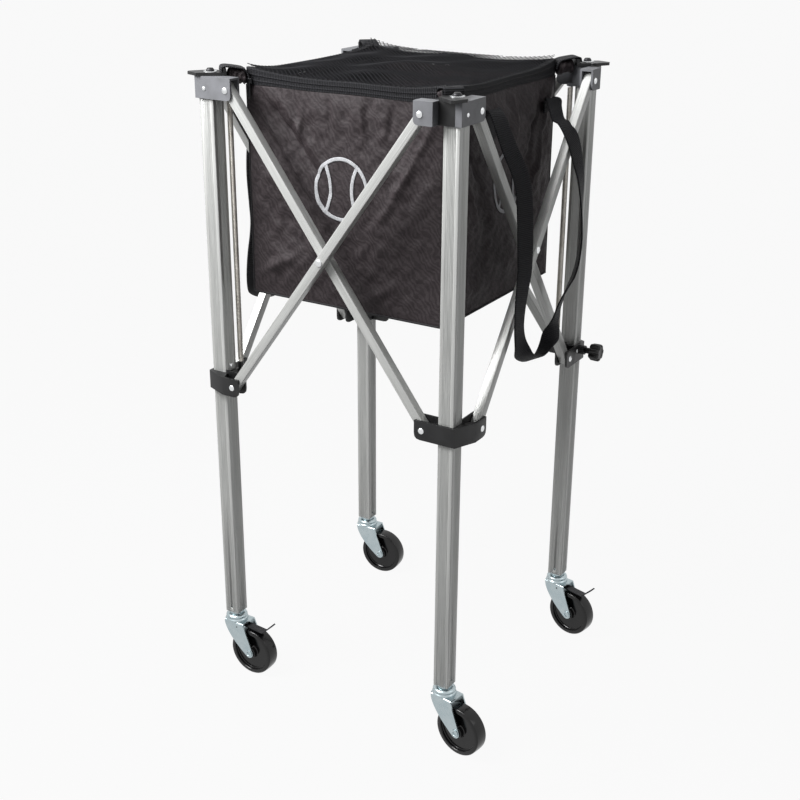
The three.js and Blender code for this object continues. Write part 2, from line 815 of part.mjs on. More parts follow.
function axleBody() {
  const outside = forkInside / 2 + forkSheet + touchGap / 2;
  const whole = joined([
    rod('y', axleRadius, -outside - axleHeadThickness / 2, outside + axleHeadThickness / 2, 0, 0),
    rod('y', axleHeadRadius, outside, outside + axleHeadThickness, 0, 0, domeSegments),
    rod('y', axleHeadRadius, -outside - axleHeadThickness, -outside, 0, 0, domeSegments),
  ]);
  return whole.subtract(rod('y', axleDimpleRadius, -outside - overrun, outside + overrun, 0, 0));
}

function brakeBody() {
  const pivotHeight = crownHeight - forkSheet - brakePivotDrop;
  const top = pivotHeight + brakePinRadius;
  const bendTop = top - brakeBendDrop;
  const under = (height) => height - brakeSheet;
  const arm = outline([
    [brakePivotBack - brakePinRadius, top],
    [brakePivotBack - brakePinRadius, under(top)],
    [brakeBendReach, under(bendTop)],
    [brakeTipReach + brakeSheet, under(bendTop + brakeTipRise)],
    [brakeTipReach, bendTop + brakeTipRise],
    [brakeBendReach - brakeSheet / 2, bendTop],
  ]);
  const outside = forkInside / 2 + forkSheet;
  return joined([
    slab('y', arm, -brakeWidth / 2, brakeWidth / 2),
    rod('y', brakePinRadius, -outside, outside, brakePivotBack, pivotHeight),
  ]);
}

for (const corner of corners) {
  const caster = new THREE.Group();
  caster.position.copy(corner.place);
  caster.rotation.z = THREE.MathUtils.degToRad(corner.heading);
  cart.add(caster);
  place(corner.group, `stem_${corner.name}`, stemBody(), 'zinc');
  place(caster, `fork_${corner.name}`, forkBody(corner.brake), 'zinc');
  const axle = place(caster, `axle_${corner.name}`, axleBody(), 'zinc');
  axle.position.set(casterTrail, 0, wheelRadius);
  const wheel = place(caster, `wheel_${corner.name}`, wheelBody(), 'wheelPlastic');
  wheel.position.set(casterTrail, 0, wheelRadius);
  if (corner.brake) {
    place(caster, `brake_${corner.name}`, brakeBody(), 'blackSteel');
  }
}

// Bag. A sheet is a grid of points with a second grid behind it, closed round its border.

function sheet(pointAt, columns, rows) {
  const positions = [];
  const index = [];
  const across = columns + 1;
  const layer = across * (rows + 1);
  for (const side of [0, 1]) {
    for (let row = 0; row <= rows; row += 1) {
      for (let column = 0; column <= columns; column += 1) {
        const spot = pointAt(column / columns, row / rows, side);
        positions.push(spot.x, spot.y, spot.z);
      }
    }
  }
  const quad = (a, b, c, d) => index.push(a, b, c, a, c, d);
  for (let row = 0; row < rows; row += 1) {
    for (let column = 0; column < columns; column += 1) {
      const a = row * across + column;
      quad(a, a + 1, a + 1 + across, a + across);
      quad(layer + a, layer + a + across, layer + a + 1 + across, layer + a + 1);
    }
  }
  for (let column = 0; column < columns; column += 1) {
    const top = rows * across + column;
    quad(column, layer + column, layer + column + 1, column + 1);
    quad(top + 1, layer + top + 1, layer + top, top);
  }
  for (let row = 0; row < rows; row += 1) {
    const left = row * across;
    const right = left + columns;
    quad(left + across, layer + left + across, layer + left, left);
    quad(right, layer + right, layer + right + across, right + across);
  }
  const geometry = new THREE.BufferGeometry();
  geometry.setAttribute('position', new THREE.Float32BufferAttribute(positions, 3));
  geometry.setIndex(index);
  return geometry;
}

const wallTop = bandBottom - touchGap;
const baseTop = bagBottom - touchGap;

// The wall bows outwards between its corners, and meets its neighbours on a mitre
function bagWallBody() {
  return sheet((u, v, side) => {
    const depth = side === 0 ? 0 : bagWall;
    const reach = bagHalf - depth - touchGap;
    const share = 2 * u - 1;
    const bow = bagSideBulge * (1 - share * share) * (1 - (2 * v - 1) ** 2);
    return new THREE.Vector3(bagHalf - depth + bow, share * reach, bagBottom + (wallTop - bagBottom) * v);
  }, 6, 4);
}

function sagged(u, v, depth) {
  return depth * (1 - (2 * u - 1) ** 2) * (1 - (2 * v - 1) ** 2);
}

function baseBody() {
  const reach = bagHalf;
  return sheet((u, v, side) => new THREE.Vector3(
    reach * (2 * u - 1),
    reach * (2 * v - 1),
    baseTop - (side === 0 ? 0 : baseThickness) - sagged(u, v, baseSag),
  ), 6, 6);
}

function lidBody() {
  const low = bandTop + touchGap;
  const reach = bagHalf - touchGap;
  return sheet((u, v, side) => new THREE.Vector3(
    reach * (2 * u - 1),
    reach * (2 * v - 1),
    low + (side === 0 ? lidThickness : 0) + sagged(u, v, lidRise - lidThickness),
  ), 6, 6);
}

// Top band: a ring of stiffened webbing with a loop at each corner that passes over the hook's lip
function bandBody() {
  const outer = bagHalf + bandThickness / 2;
  const inner = outer - bandThickness;
  const ring = new THREE.Shape();
  const radius = bandCornerRadius;
  ring.moveTo(outer, -outer + radius);
  ring.lineTo(outer, outer - radius);
  ring.quadraticCurveTo(outer, outer, outer - radius, outer);
  ring.lineTo(-outer + radius, outer);
  ring.quadraticCurveTo(-outer, outer, -outer, outer - radius);
  ring.lineTo(-outer, -outer + radius);
  ring.quadraticCurveTo(-outer, -outer, -outer + radius, -outer);
  ring.lineTo(outer - radius, -outer);
  ring.quadraticCurveTo(outer, -outer, outer, -outer + radius);
  const hole = new THREE.Path();
  const inset = radius - bandThickness;
  hole.moveTo(inner, -inner + inset);
  hole.quadraticCurveTo(inner, -inner, inner - inset, -inner);
  hole.lineTo(-inner + inset, -inner);
  hole.quadraticCurveTo(-inner, -inner, -inner, -inner + inset);
  hole.lineTo(-inner, inner - inset);
  hole.quadraticCurveTo(-inner, inner, -inner + inset, inner);
  hole.lineTo(inner - inset, inner);
  hole.quadraticCurveTo(inner, inner, inner, inner - inset);
  hole.closePath();
  ring.holes.push(hole);
  const parts = [slab('z', ring, bandBottom, bandTop)];
  const legReach = half * Math.SQRT2;
  const lipInner = legReach - hookInnerReach;
  const lipOuter = lipInner + hookLipThickness;
  const lipTop = bracketTop + touchGap + hookPlateThickness + hookLipHeight;
  const under = lipTop + touchGap;
  const bandReach = (bagHalf + bandThickness / 2) * Math.SQRT2 - radius / 2;
  const innerEnd = lipInner - touchGap - loopInnerRun;
  const loop = outline([
    [lipOuter + touchGap, under - loopHookDrop + touchGap],
    [lipOuter + touchGap + loopThickness, under - loopHookDrop + touchGap],
    [lipOuter + touchGap + loopThickness, under + loopThickness],
    [lipInner - touchGap - loopThickness, under + loopThickness],
    [innerEnd, bandTop],
    [bandReach - bandThickness, bandTop],
    [bandReach - bandThickness, bandTop - loopHookDrop],
    [innerEnd + loopThickness, bandTop - loopThickness],
    [lipInner - touchGap, under],
    [lipOuter + touchGap, under],
  ]);
  for (const corner of corners) {
    const bent = slab('y', loop, -loopWidth / 2, loopWidth / 2);
    parts.push(bent.rotate([0, 0, corner.turn * 90 - 45]));
  }
  return joined(parts);
}

const bag = new THREE.Group();
cart.add(bag);
for (const side of sides) {
  const turned = new THREE.Group();
  turned.rotation.z = (side.turn * Math.PI) / 2;
  bag.add(turned);
  place(turned, `bag_wall_${side.name}`, bagWallBody(), 'bagFabric');
}
place(bag, 'bag_base', baseBody(), 'bagFabric');
place(bag, 'bag_band', bandBody(), 'webbing');
place(bag, 'mesh_lid', lidBody(), 'meshFabric');

// Zip slider and its pull, on the front of the top band
function zipBody() {
  const face = -bagHalf - bandThickness / 2 - touchGap;
  const high = bandTop - zipTopDrop;
  const low = high - zipBodyHeight;
  const front = face - zipBodyThickness;
  const pullEnd = low - zipPullLength;
  const halfPull = zipPullWidth / 2;
  return joined([
    block(-zipBodyLength / 2, zipBodyLength / 2, front, face, low, high),
    block(-halfPull, halfPull, front, front + zipPullThickness, pullEnd, low + overrun),
  ]);
}

const zip = place(bag, 'zip_slider', zipBody(), 'blackNylon');
zip.position.x = -bagHalf + zipCornerClear;

// Carrying straps: webbing sewn to the right and left walls, out over the bars and down in a loop.
// Each stop gives shares of the loop's reach outward, of its spread along the wall and of its drop,
// and then the angle that its width turns from the wall's line to outward.
const strapStopShares = [
  [-0.0335, -0.303, 0.118, 0],
  [-0.0341, -0.382, 0.069, 0],
  [0.031, -0.454, 0.025, 3],
  [0.101, -0.496, 0.001, 8],
  [0.209, -0.526, 0.003, 14],
  [0.333, -0.55, 0.032, 20],
  [0.473, -0.556, 0.088, 24],
  [0.597, -0.546, 0.142, 27],
  [0.705, -0.506, 0.194, 29],
  [0.788, -0.474, 0.247, 30],
  [0.845, -0.459, 0.308, 30],
  [0.876, -0.448, 0.401, 30],
  [0.884, -0.422, 0.521, 30],
  [0.884, -0.414, 0.61, 30],
  [0.884, -0.45, 0.678, 28],
  [0.899, -0.502, 0.754, 25],
  [0.922, -0.526, 0.833, 27],
  [0.946, -0.494, 0.903, 40],
  [0.946, -0.405, 0.952, 62],
  [0.938, -0.219, 0.987, 84],
  [0.922, 0, 1, 90],
  [0.93, 0.173, 0.972, 78],
  [0.938, 0.296, 0.931, 50],
  [0.946, 0.363, 0.885, 22],
  [0.953, 0.434, 0.836, 5],
  [0.961, 0.53, 0.799, -6],
  [0.969, 0.639, 0.766, -16],
  [0.977, 0.747, 0.732, -25],
  [0.984, 0.825, 0.688, -31],
  [0.992, 0.863, 0.635, -32],
  [1, 0.869, 0.569, -32],
  [0.997, 0.853, 0.469, -26],
  [0.977, 0.84, 0.376, -12],
  [0.946, 0.825, 0.314, -2],
  [0.891, 0.785, 0.248, 8],
  [0.853, 0.689, 0.168, 12],
  [0.783, 0.622, 0.126, 12],
  [0.659, 0.629, 0.098, 11],
  [0.488, 0.685, 0.088, 10],
  [0.333, 0.765, 0.06, 8],
  [0.194, 0.869, 0.038, 5],
  [0.093, 0.952, 0.029, 2],
  [-0.0217, 0.984, 0.034, 0],
  [-0.0653, 0.996, 0.051, 0],
  [-0.0676, 1, 0.083, 0],
];

function strapBody(outward, reach, drop) {
  const positions = [];
  const index = [];
  const seat = bagHalf + bagSideBulge + strapSeat;
  const top = bandBottom - strapTopDrop;
  const stops = strapStopShares.map(([out, along, down]) => (
    new THREE.Vector3(outward * (seat + reach * out), strapSpread * along, top - drop * down)
  ));
  const edges = outward > 0 ? [[-1, -1], [1, -1], [1, 1], [-1, 1]] : [[-1, 1], [1, 1], [1, -1], [-1, -1]];
  stops.forEach((stop, at) => {
    const before = stops[Math.max(at - 1, 0)];
    const after = stops[Math.min(at + 1, stops.length - 1)];
    const along = after.clone().sub(before).normalize();
    const lean = THREE.MathUtils.degToRad(strapStopShares[at][3]);
    const wide = new THREE.Vector3(Math.sin(lean), Math.cos(lean), 0);
    wide.addScaledVector(along, -wide.dot(along)).normalize();
    const thin = along.clone().cross(wide).multiplyScalar(outward);
    for (const [w, t] of edges) {
      const spot = stop.clone().addScaledVector(wide, (w * strapWidth) / 2);
      spot.addScaledVector(thin, (t * strapThickness) / 2);
      positions.push(spot.x, spot.y, spot.z);
    }
  });
  for (let ring = 0; ring + 1 < stops.length; ring += 1) {
    for (let corner = 0; corner < 4; corner += 1) {
      const next = (corner + 1) % 4;
      const here = ring * 4;
      const there = here + 4;
      index.push(here + corner, here + next, there + next, here + corner, there + next, there + corner);
    }
  }
  const last = (stops.length - 1) * 4;
  index.push(0, 2, 1, 0, 3, 2, last, last + 1, last + 2, last, last + 2, last + 3);
  const geometry = new THREE.BufferGeometry();
  geometry.setAttribute('position', new THREE.Float32BufferAttribute(positions, 3));
  geometry.setIndex(index);
  return geometry;
}

place(bag, 'strap_right', strapBody(1, strapReach, strapDrop), 'webbing');
place(bag, 'strap_left', strapBody(-1, leftStrapReach, leftStrapDrop), 'webbing');

// The origin is under the middle of the whole cart's box, on the floor
cart.updateMatrixWorld(true);
const box = new THREE.Box3().setFromObject(cart, true);
cart.position.set(-(box.min.x + box.max.x) / 2, -(box.min.y + box.max.y) / 2, -box.min.z);
cart.updateMatrixWorld(true);

export default cart;
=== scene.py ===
import math

import bmesh
import bpy
import numpy as np
from mathutils import Matrix, Vector


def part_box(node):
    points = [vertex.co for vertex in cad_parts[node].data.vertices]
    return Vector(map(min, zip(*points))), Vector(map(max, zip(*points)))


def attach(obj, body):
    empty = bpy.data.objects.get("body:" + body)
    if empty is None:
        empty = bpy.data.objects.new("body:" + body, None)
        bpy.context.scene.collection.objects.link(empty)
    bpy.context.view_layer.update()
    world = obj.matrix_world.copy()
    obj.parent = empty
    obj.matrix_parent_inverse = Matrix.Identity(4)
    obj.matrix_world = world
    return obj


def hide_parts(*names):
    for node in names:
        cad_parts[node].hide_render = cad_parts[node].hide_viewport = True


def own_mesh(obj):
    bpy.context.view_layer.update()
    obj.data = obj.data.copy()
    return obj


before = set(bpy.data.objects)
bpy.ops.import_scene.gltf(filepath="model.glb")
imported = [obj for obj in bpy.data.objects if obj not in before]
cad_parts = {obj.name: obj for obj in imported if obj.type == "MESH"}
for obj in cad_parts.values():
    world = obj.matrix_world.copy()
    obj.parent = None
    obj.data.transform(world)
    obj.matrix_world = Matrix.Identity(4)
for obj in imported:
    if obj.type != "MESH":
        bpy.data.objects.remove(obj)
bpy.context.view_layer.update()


# The photograph's viewpoint. A long lens stands a little above the bag, in front of the right-hand corner.
# Its place is measured from the middle of the four legs, where they would meet the floor.
legs = ("front_right", "back_right", "back_left", "front_left")
lens_millimetres, sensor_millimetres = 57.57, 36.0
camera_azimuth, camera_elevation, camera_roll = map(math.radians, (31.58, 22.22, 0.34))
camera_offset = Vector((0.93440, -1.52793, 1.16086))

stem_boxes = [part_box("stem_" + leg) for leg in legs]
middle = sum(((low + high) / 2 for low, high in stem_boxes), Vector()) / len(legs)
middle.z = 0.0


def set_down(name, data):
    """A new object that shows the data, linked to the scene."""
    made = bpy.data.objects.new(name, data)
    bpy.context.scene.collection.objects.link(made)
    return made


backwards = Vector((math.sin(camera_azimuth) * math.cos(camera_elevation),
                    -math.cos(camera_azimuth) * math.cos(camera_elevation), math.sin(camera_elevation)))
rightwards = Vector((0, 0, 1)).cross(backwards).normalized()
upwards = backwards.cross(rightwards)
turn = Matrix((rightwards, upwards, backwards)).transposed() @ Matrix.Rotation(camera_roll, 3, "Z")
camera_data = bpy.data.cameras.new("viewpoint")
camera_data.lens, camera_data.sensor_width = lens_millimetres, sensor_millimetres
camera = set_down("viewpoint", camera_data)
camera.matrix_world = Matrix.Translation(middle + camera_offset) @ turn.to_4x4()
bpy.context.scene.camera = camera


# The studio: a plain pale sweep under the wheels, a soft lamp above and one from each side. Camera, mirror and
# glass rays see the world as plain white, so the backdrop takes no extra lamp.
def linear(hex_colour):
    """An sRGB colour such as "#8a8d8f" as linear red, green and blue with alpha 1."""
    shares = [int(hex_colour[at:at + 2], 16) / 255 for at in (1, 3, 5)]
    return tuple(s / 12.92 if s <= 0.04045 else ((s + 0.055) / 1.055) ** 2.4 for s in shares) + (1.0,)


def node(tree, kind, settings=(), *sources, **links):
    """Adds one shader node. Settings are its properties and socket values. Sources feed its sockets in their
    order and links its named ones: each is a number, a socket, or a node that gives its first output."""
    made = tree.nodes.new(kind)
    for name, value in dict(settings).items():
        if hasattr(made, name):
            setattr(made, name, value)
        else:
            made.inputs[name].default_value = value
    named = [(made.inputs[name.replace("_", " ")], source) for name, source in links.items()]
    for socket, source in list(zip(made.inputs, sources)) + named:
        if isinstance(source, float):
            socket.default_value = source
        else:
            tree.links.new(getattr(source, "outputs", [source])[0], socket)
    return made


def stuff(name, colour, roughness, metallic=0.0, read="Object", **sockets):
    """A new material named for its real stuff, with its shader and the coordinates that its pattern reads."""
    made = bpy.data.materials.new(name)
    made.use_nodes = True
    tree = made.node_tree
    skin = tree.nodes["Principled BSDF"]
    for socket, value in dict(Base_Color=linear(colour), Roughness=roughness, Metallic=metallic, **sockets).items():
        skin.inputs[socket.replace("_", " ")].default_value = value
    return made, tree, skin, node(tree, "ShaderNodeTexCoord").outputs[read]


world = bpy.data.worlds.new("studio")
world.use_nodes = True
tree = world.node_tree
tree.nodes.clear()
rays = node(tree, "ShaderNodeLightPath").outputs
through = node(tree, "ShaderNodeMath", {"operation": "MAXIMUM"}, rays["Is Glossy Ray"], rays["Is Transmission Ray"])
seen = node(tree, "ShaderNodeMath", {"operation": "MAXIMUM"}, rays["Is Camera Ray"], through)
lit = node(tree, "ShaderNodeBackground", {"Color": linear("#f4f6f8"), "Strength": 0.14})
white = node(tree, "ShaderNodeBackground", {"Color": linear("#ffffff"), "Strength": 1.0})
node(tree, "ShaderNodeOutputWorld", {}, node(tree, "ShaderNodeMixShader", {}, seen, lit, white))
bpy.context.scene.world = world
bpy.context.scene.view_settings.view_transform = "Standard"

# Place, point aimed at, width in metres and power in watts of each lamp
for name, place, aim, size, power in (
    ("lamp_above", (-0.35, -0.75, 1.7), (0, 0, 0.8), 0.7, 15),
    ("lamp_left", (-0.8, -0.95, 1.6), (0, -0.1, 0.95), 0.7, 30),
    ("lamp_right", (2.2, 0.4, 1.9), (0, 0, 0.8), 1.2, 5),
):
    lamp = bpy.data.lights.new(name, "AREA")
    lamp.size, lamp.energy = size, power
    held = set_down(name, lamp)
    held.location, held.rotation_mode = place, "QUATERNION"
    held.rotation_quaternion = (Vector(place) - Vector(aim)).to_track_quat("Z", "Y")

# The sweep is matt paper. The camera and the metal see most of it as plain white, and the rest of its
# light is what falls on it, so that the shadows under the cart stay.
sweep_reach, sweep_glow = 30.0, 0.94
paper, tree, matt, place = stuff("white_paper", "#7c7c7c", 0.9)
glow = node(tree, "ShaderNodeEmission", {"Color": linear("#ffffff"), "Strength": 1.0})
rays = node(tree, "ShaderNodeLightPath").outputs
seen = node(tree, "ShaderNodeMath", {"operation": "MAXIMUM"}, rays["Is Camera Ray"], rays["Is Glossy Ray"])
share = node(tree, "ShaderNodeMath", {"operation": "MULTIPLY"}, seen, sweep_glow)
both = node(tree, "ShaderNodeMixShader", {}, share, matt, glow)
tree.links.new(both.outputs[0], tree.nodes["Material Output"].inputs["Surface"])
sweep_mesh = bpy.data.meshes.new("paper_sweep")
sweep_mesh.from_pydata([(x * sweep_reach, y * sweep_reach, 0) for x, y in ((-1, -1), (1, -1), (1, 1), (-1, 1))], [],
                       [(0, 1, 2, 3)])
sweep_mesh.materials.append(paper)
set_down("paper_sweep", sweep_mesh)


# The four legs are drawn square aluminium tube with seven fine lines down the middle of every face, clear
# anodised. The real lines are finer, and are drawn 1.8 mm apart here so that they show. Each leg has a hole
# through its foot and a domed stop rivet above its slider.
MM = 0.001
half = 187.25
corner = (half, -half, 0)
leg_half, leg_wall, leg_corner, tube_ease = 11.75, 1.6, 1.4, 0.4
leg_low, leg_high = 100.0, 914.2
line_pitch, line_depth, line_count, line_steps = 1.8, 0.5, 7, 6
foot_hole_radius, foot_hole_rise, drill_reach = 1.9, 9.0, 20.0
rim_sunk, rim_rise = 0.6, 0.25
stop_radius, stop_dome, stop_height = 3.2, 1.6, 510.2


def turned(points, angle):
    """Points turned by an angle about the z axis."""
    x, y, z = np.moveaxis(np.asarray(points, float), -1, 0)
    cosine, sine = math.cos(angle), math.sin(angle)
    return np.stack((cosine * x - sine * y, sine * x + cosine * y, z), -1)


def put(points, quarter=0, offset=(0, 0, 0)):
    """Millimetre points, shifted and then turned by quarter right angles about the cart's middle, in metres."""
    return turned(np.asarray(points, float) + offset, quarter * math.pi / 2) * MM + (middle.x, middle.y, 0.0)


def cells(index):
    """The four-sided faces between the neighbouring rows and columns of a grid of point numbers."""
    return np.stack((index[:-1, :-1], index[:-1, 1:], index[1:, 1:], index[1:, :-1]), -1).reshape(-1, 4)


def closed(points, quarter=0, offset=(0, 0, 0), looped=False):
    """A closed form over a grid of millimetre points, put in its place: rows run along the piece and columns
    go round it, each cell is one face. A looped form joins its last row to its first, any other has a face
    over each end row. The faces are turned outwards by the sign of the volume that they hold."""
    rows, columns = points.shape[:2]
    index = np.pad(np.arange(rows * columns).reshape(rows, columns), ((0, int(looped)), (0, 1)), "wrap")
    faces = [cells(index)]
    if not looped:
        faces += [index[:1, :columns][:, ::-1], index[-1:, :columns]]
    flat = put(points, quarter, offset).reshape(-1, 3)
    held, centre = 0.0, flat.mean(0)
    for face in faces:
        spokes = flat[face] - centre
        for at in range(1, face.shape[1] - 1):
            held += np.einsum("ij,ij->", spokes[:, 0], np.cross(spokes[:, at], spokes[:, at + 1]))
    return flat, [face[:, ::-1] if held < 0 else face for face in faces]


def piece(name, forms, material, body, stands_for=(), crease=38, grain=None):
    """Joins forms into one mesh, with its place in its points. Grain is a pair of lengths in millimetres
    for every point, round and along the piece, kept as its UV map."""
    points = np.concatenate([form[0] for form in forms])
    starts = np.cumsum([0] + [len(form[0]) for form in forms])
    faces = [face + start for start, form in zip(starts, forms) for face in form[1]]
    corners = np.concatenate([face.ravel() for face in faces]).astype(np.int32)
    counts = np.concatenate([np.full(len(face), face.shape[1]) for face in faces])
    mesh = bpy.data.meshes.new(name)
    mesh.vertices.add(len(points))
    mesh.vertices.foreach_set("co", points.ravel())
    mesh.loops.add(len(corners))
    mesh.loops.foreach_set("vertex_index", corners)
    mesh.polygons.add(len(counts))
    mesh.polygons.foreach_set("loop_start", (np.cumsum(counts) - counts).astype(np.int32))
    mesh.update(calc_edges=True)
    mesh.shade_smooth()
    mesh.set_sharp_from_angle(angle=math.radians(crease))
    if grain is not None:
        layer = mesh.uv_layers.new(name="grain")
        layer.data.foreach_set("uv", grain.reshape(-1, 2)[corners].ravel())
    mesh.materials.append(material)
    made = set_down(name, mesh)
    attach(made, body)
    if stands_for:
        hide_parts(*stands_for)
    return made


def square_tube(size, wall, rounding, low, high, lines=0):
    """Four flat faces joined by rounded corners, carried from low to high, then back inside by the wall.
    Each face sinks by a raised cosine at every drawn line. Returns the grid and its grain."""
    reach = size - rounding
    drawn = lines * line_pitch / 2
    across = np.concatenate(([-reach], np.linspace(-drawn, drawn, line_steps * lines + 1), [reach]))
    sunk = np.where(np.abs(across) < drawn, line_depth * (0.5 + 0.5 * np.cos(across / line_pitch * 2 * np.pi)), 0)
    bend = np.linspace(0, math.pi / 2, 6)[1:-1]
    face = np.concatenate((np.stack((size - sunk, across), -1),
                           np.stack((reach + rounding * np.cos(bend), reach + rounding * np.sin(bend)), -1)))
    plain = np.concatenate((np.stack((np.full(len(across), size), across), -1), face[len(across):]))
    turns = [np.array(((c, -s), (s, c))) for c, s in ((1, 0), (0, 1), (-1, 0), (0, -1))]
    outer = np.concatenate([face @ t.T for t in turns])
    inner = np.concatenate([plain @ t.T for t in turns]) * (size - wall) / size
    eased = outer * (size - tube_ease) / size
    levels = np.linspace(low + tube_ease, high - tube_ease, 5)
    rows = [(eased, low)] + [(outer, level) for level in levels] + [(eased, high), (inner, high), (inner, low)]
    grid = np.stack([np.column_stack((ring, np.full(len(ring), level))) for ring, level in rows])
    steps = np.linalg.norm(np.diff(outer, axis=0, prepend=outer[-1:]), axis=1).cumsum()
    return grid, np.stack([np.column_stack((steps, np.full(len(steps), level))) for _, level in rows])


def turned_profile(radii, heights, steps=40):
    """A profile of radius and height carried once round the z axis."""
    angle = np.linspace(0, 2 * np.pi, steps, endpoint=False)
    radii, heights = np.asarray(radii, float)[:, None], np.asarray(heights, float)[:, None]
    return np.stack((radii * np.cos(angle), radii * np.sin(angle), heights + 0 * angle), -1)


def facing(points, way, spot):
    """Turns a form that points up z to point along x or y, either way, and moves it to its spot."""
    x, y, z = np.moveaxis(points, -1, 0)
    return np.stack({"x": (z, x, y), "-x": (-z, x, y), "y": (x, z, y), "-y": (x, -z, y)}[way], -1) + spot


def rivet_head(radius, rise, way, spot):
    """A domed head: a short upright rim, then a quarter of an ellipse up to a small flat."""
    bend = np.linspace(0, 1.5, 9)
    radii = np.concatenate(([radius, radius], radius * np.cos(bend)))
    heights = np.concatenate(([-rim_sunk, 0.0], rim_rise + (rise - rim_rise) * np.sin(bend)))
    return facing(turned_profile(radii, heights, 32), way, spot)


def patterned(tree, skin, field, rough=None, colours=None, bump=None):
    """Spreads one pattern over a shader: a range of roughness, two colours, and a bump's strength and its
    height in metres."""
    if rough:
        spread = node(tree, "ShaderNodeMapRange", {"From Min": 0.3, "From Max": 0.7, "To Min": rough[0],
                                                   "To Max": rough[1]}, Value=field)
        tree.links.new(spread.outputs[0], skin.inputs["Roughness"])
    if colours:
        ramp = node(tree, "ShaderNodeValToRGB", Fac=field)
        for stop, position, colour in zip(ramp.color_ramp.elements, (0.35, 0.65), colours):
            stop.position, stop.color = position, linear(colour)
        tree.links.new(ramp.outputs[0], skin.inputs["Base Color"])
    if bump:
        raised = node(tree, "ShaderNodeBump", {"Strength": bump[0], "Distance": bump[1]}, Height=field)
        tree.links.new(raised.outputs[0], skin.inputs["Normal"])


# Anodised aluminium, drawn through a die: fine lines along the tube spread its highlight sideways, and
# the clear oxide over the etched metal scatters about half of its light. The lines are about 0.3 mm apart
# and run for some 80 mm.
anodised, tree, skin, place = stuff("anodised_aluminium", "#b2b3b1", 0.34, metallic=0.22, read="UV")
stretched = node(tree, "ShaderNodeMapping", {"Scale": (3.2, 0.012, 1.0)}, Vector=place)
drawn_lines = node(tree, "ShaderNodeTexNoise", {"Scale": 1.0, "Detail": 3.0}, Vector=stretched)
patterned(tree, skin, drawn_lines, (0.26, 0.42), ("#9c9d9b", "#c8c9c7"), (0.3, 0.00005))

# Bright zinc-plated rivet steel, headed in a die. Scuffs of about 1 mm dull its highlights a little.
rivet_steel, tree, skin, place = stuff("bright_rivet_steel", "#dcdedf", 0.24, metallic=1.0)
scuffs = node(tree, "ShaderNodeTexNoise", {"Scale": 900.0, "Detail": 3.0}, Vector=place)
patterned(tree, skin, scuffs, (0.18, 0.34), None, (0.1, 0.00005))


def drilled(target, cutter):
    """Cuts a closed form out of a piece, as a drill does, and leaves no modifier behind."""
    cut = target.modifiers.new("drilled", "BOOLEAN")
    cut.object, cut.solver = cutter, "EXACT"
    made = bpy.data.meshes.new_from_object(target.evaluated_get(bpy.context.evaluated_depsgraph_get()))
    target.modifiers.clear()
    target.data = made
    bpy.data.objects.remove(cutter)


leg_grid, leg_grain = square_tube(leg_half, leg_wall, leg_corner, leg_low, leg_high, line_count)
drill = facing(turned_profile([foot_hole_radius] * 2, [-drill_reach, drill_reach], 24), "x",
               (0, 0, leg_low + foot_hole_rise))
stop = rivet_head(stop_radius, stop_dome, "y", (0, leg_half, stop_height))
for quarter, leg in enumerate(legs):
    tube = piece("leg_tube_" + leg, [closed(leg_grid, quarter, corner, looped=True)], anodised, "leg_" + leg,
                 ["leg_" + leg], grain=leg_grain)
    drilled(tube, piece("drill_bit", [closed(drill, quarter, corner)], anodised, "leg_" + leg))
    piece("stop_rivet_" + leg, [closed(stop, quarter, corner)], rivet_steel, "leg_" + leg)


# The eight crossed bars are smaller square aluminium tube, two on each side. The inner bar of a side lies in
# the legs' plane and the outer one beside it. Each is pinned in a top bracket and in a slider, and the
# two are held by one rivet where they cross.
sides = ("right", "back", "left", "front")
bar_half, bar_wall, bar_corner, bar_end = 6.5, 1.3, 1.1, 8.0
pivot_reach, top_pivot, low_pivot = 35.0, 901.5, 488.5
inner_plane, outer_plane = 5.2, 18.8
crossing_radius, crossing_dome, crossing_shank = 5.0, 1.9, 2.5
front_seat, back_seat, shank_past = 0.5, 0.2, 0.3
bar_run, bar_drop = 2 * half - 2 * pivot_reach, top_pivot - low_pivot
bar_length = math.hypot(bar_run, bar_drop)


def leaning(points, way, plane):
    """Leans a bar drawn down the z axis along its side, to one way, and moves its top pivot to its place."""
    cosine, sine = bar_drop / bar_length, way * bar_run / bar_length
    x, y, z = np.moveaxis(points, -1, 0)
    leaned = np.stack((x, cosine * y - sine * z, sine * y + cosine * z), -1)
    return leaned + (half + plane, -way * (half - pivot_reach), top_pivot)


bar_grid, bar_grain = square_tube(bar_half, bar_wall, bar_corner, -bar_length - bar_end, bar_end)
crossing_height = (top_pivot + low_pivot) / 2
crossing_forms = (
    rivet_head(crossing_radius, crossing_dome, "x", (half + outer_plane + bar_half + front_seat, 0, crossing_height)),
    rivet_head(crossing_radius, crossing_dome, "-x", (half + inner_plane - bar_half - back_seat, 0, crossing_height)),
    facing(turned_profile([crossing_shank] * 2, [0, outer_plane + bar_half + shank_past]), "x",
           (half, 0, crossing_height)))
for quarter, side in enumerate(sides):
    for run, way, plane in (("inner", 1, inner_plane), ("outer", -1, outer_plane)):
        body = f"bar_{run}_{side}"
        piece(f"bar_{run}_tube_{side}", [closed(leaning(bar_grid, way, plane), quarter, looped=True)], anodised, body,
              [body], grain=bar_grain)
    piece("crossing_rivet_" + side, [closed(form, quarter) for form in crossing_forms], rivet_steel,
          "bar_inner_" + side)


# The top brackets are moulded in grey glass-filled nylon: a sleeve over the leg's end with a channel for
# a bar on each side. Tool marks and fibres leave them satin, with edges rounded by under a millimetre.
bracket_outer, bracket_front, bracket_edge = 15.05, 28.65, 0.7
leg_rivet_radius, leg_rivet_dome = 2.7, 1.3
pivot_radius, pivot_dome = 4.4, 1.9
same_spot_metres, flat_degrees, edge_degrees = 1e-5, 1, 35

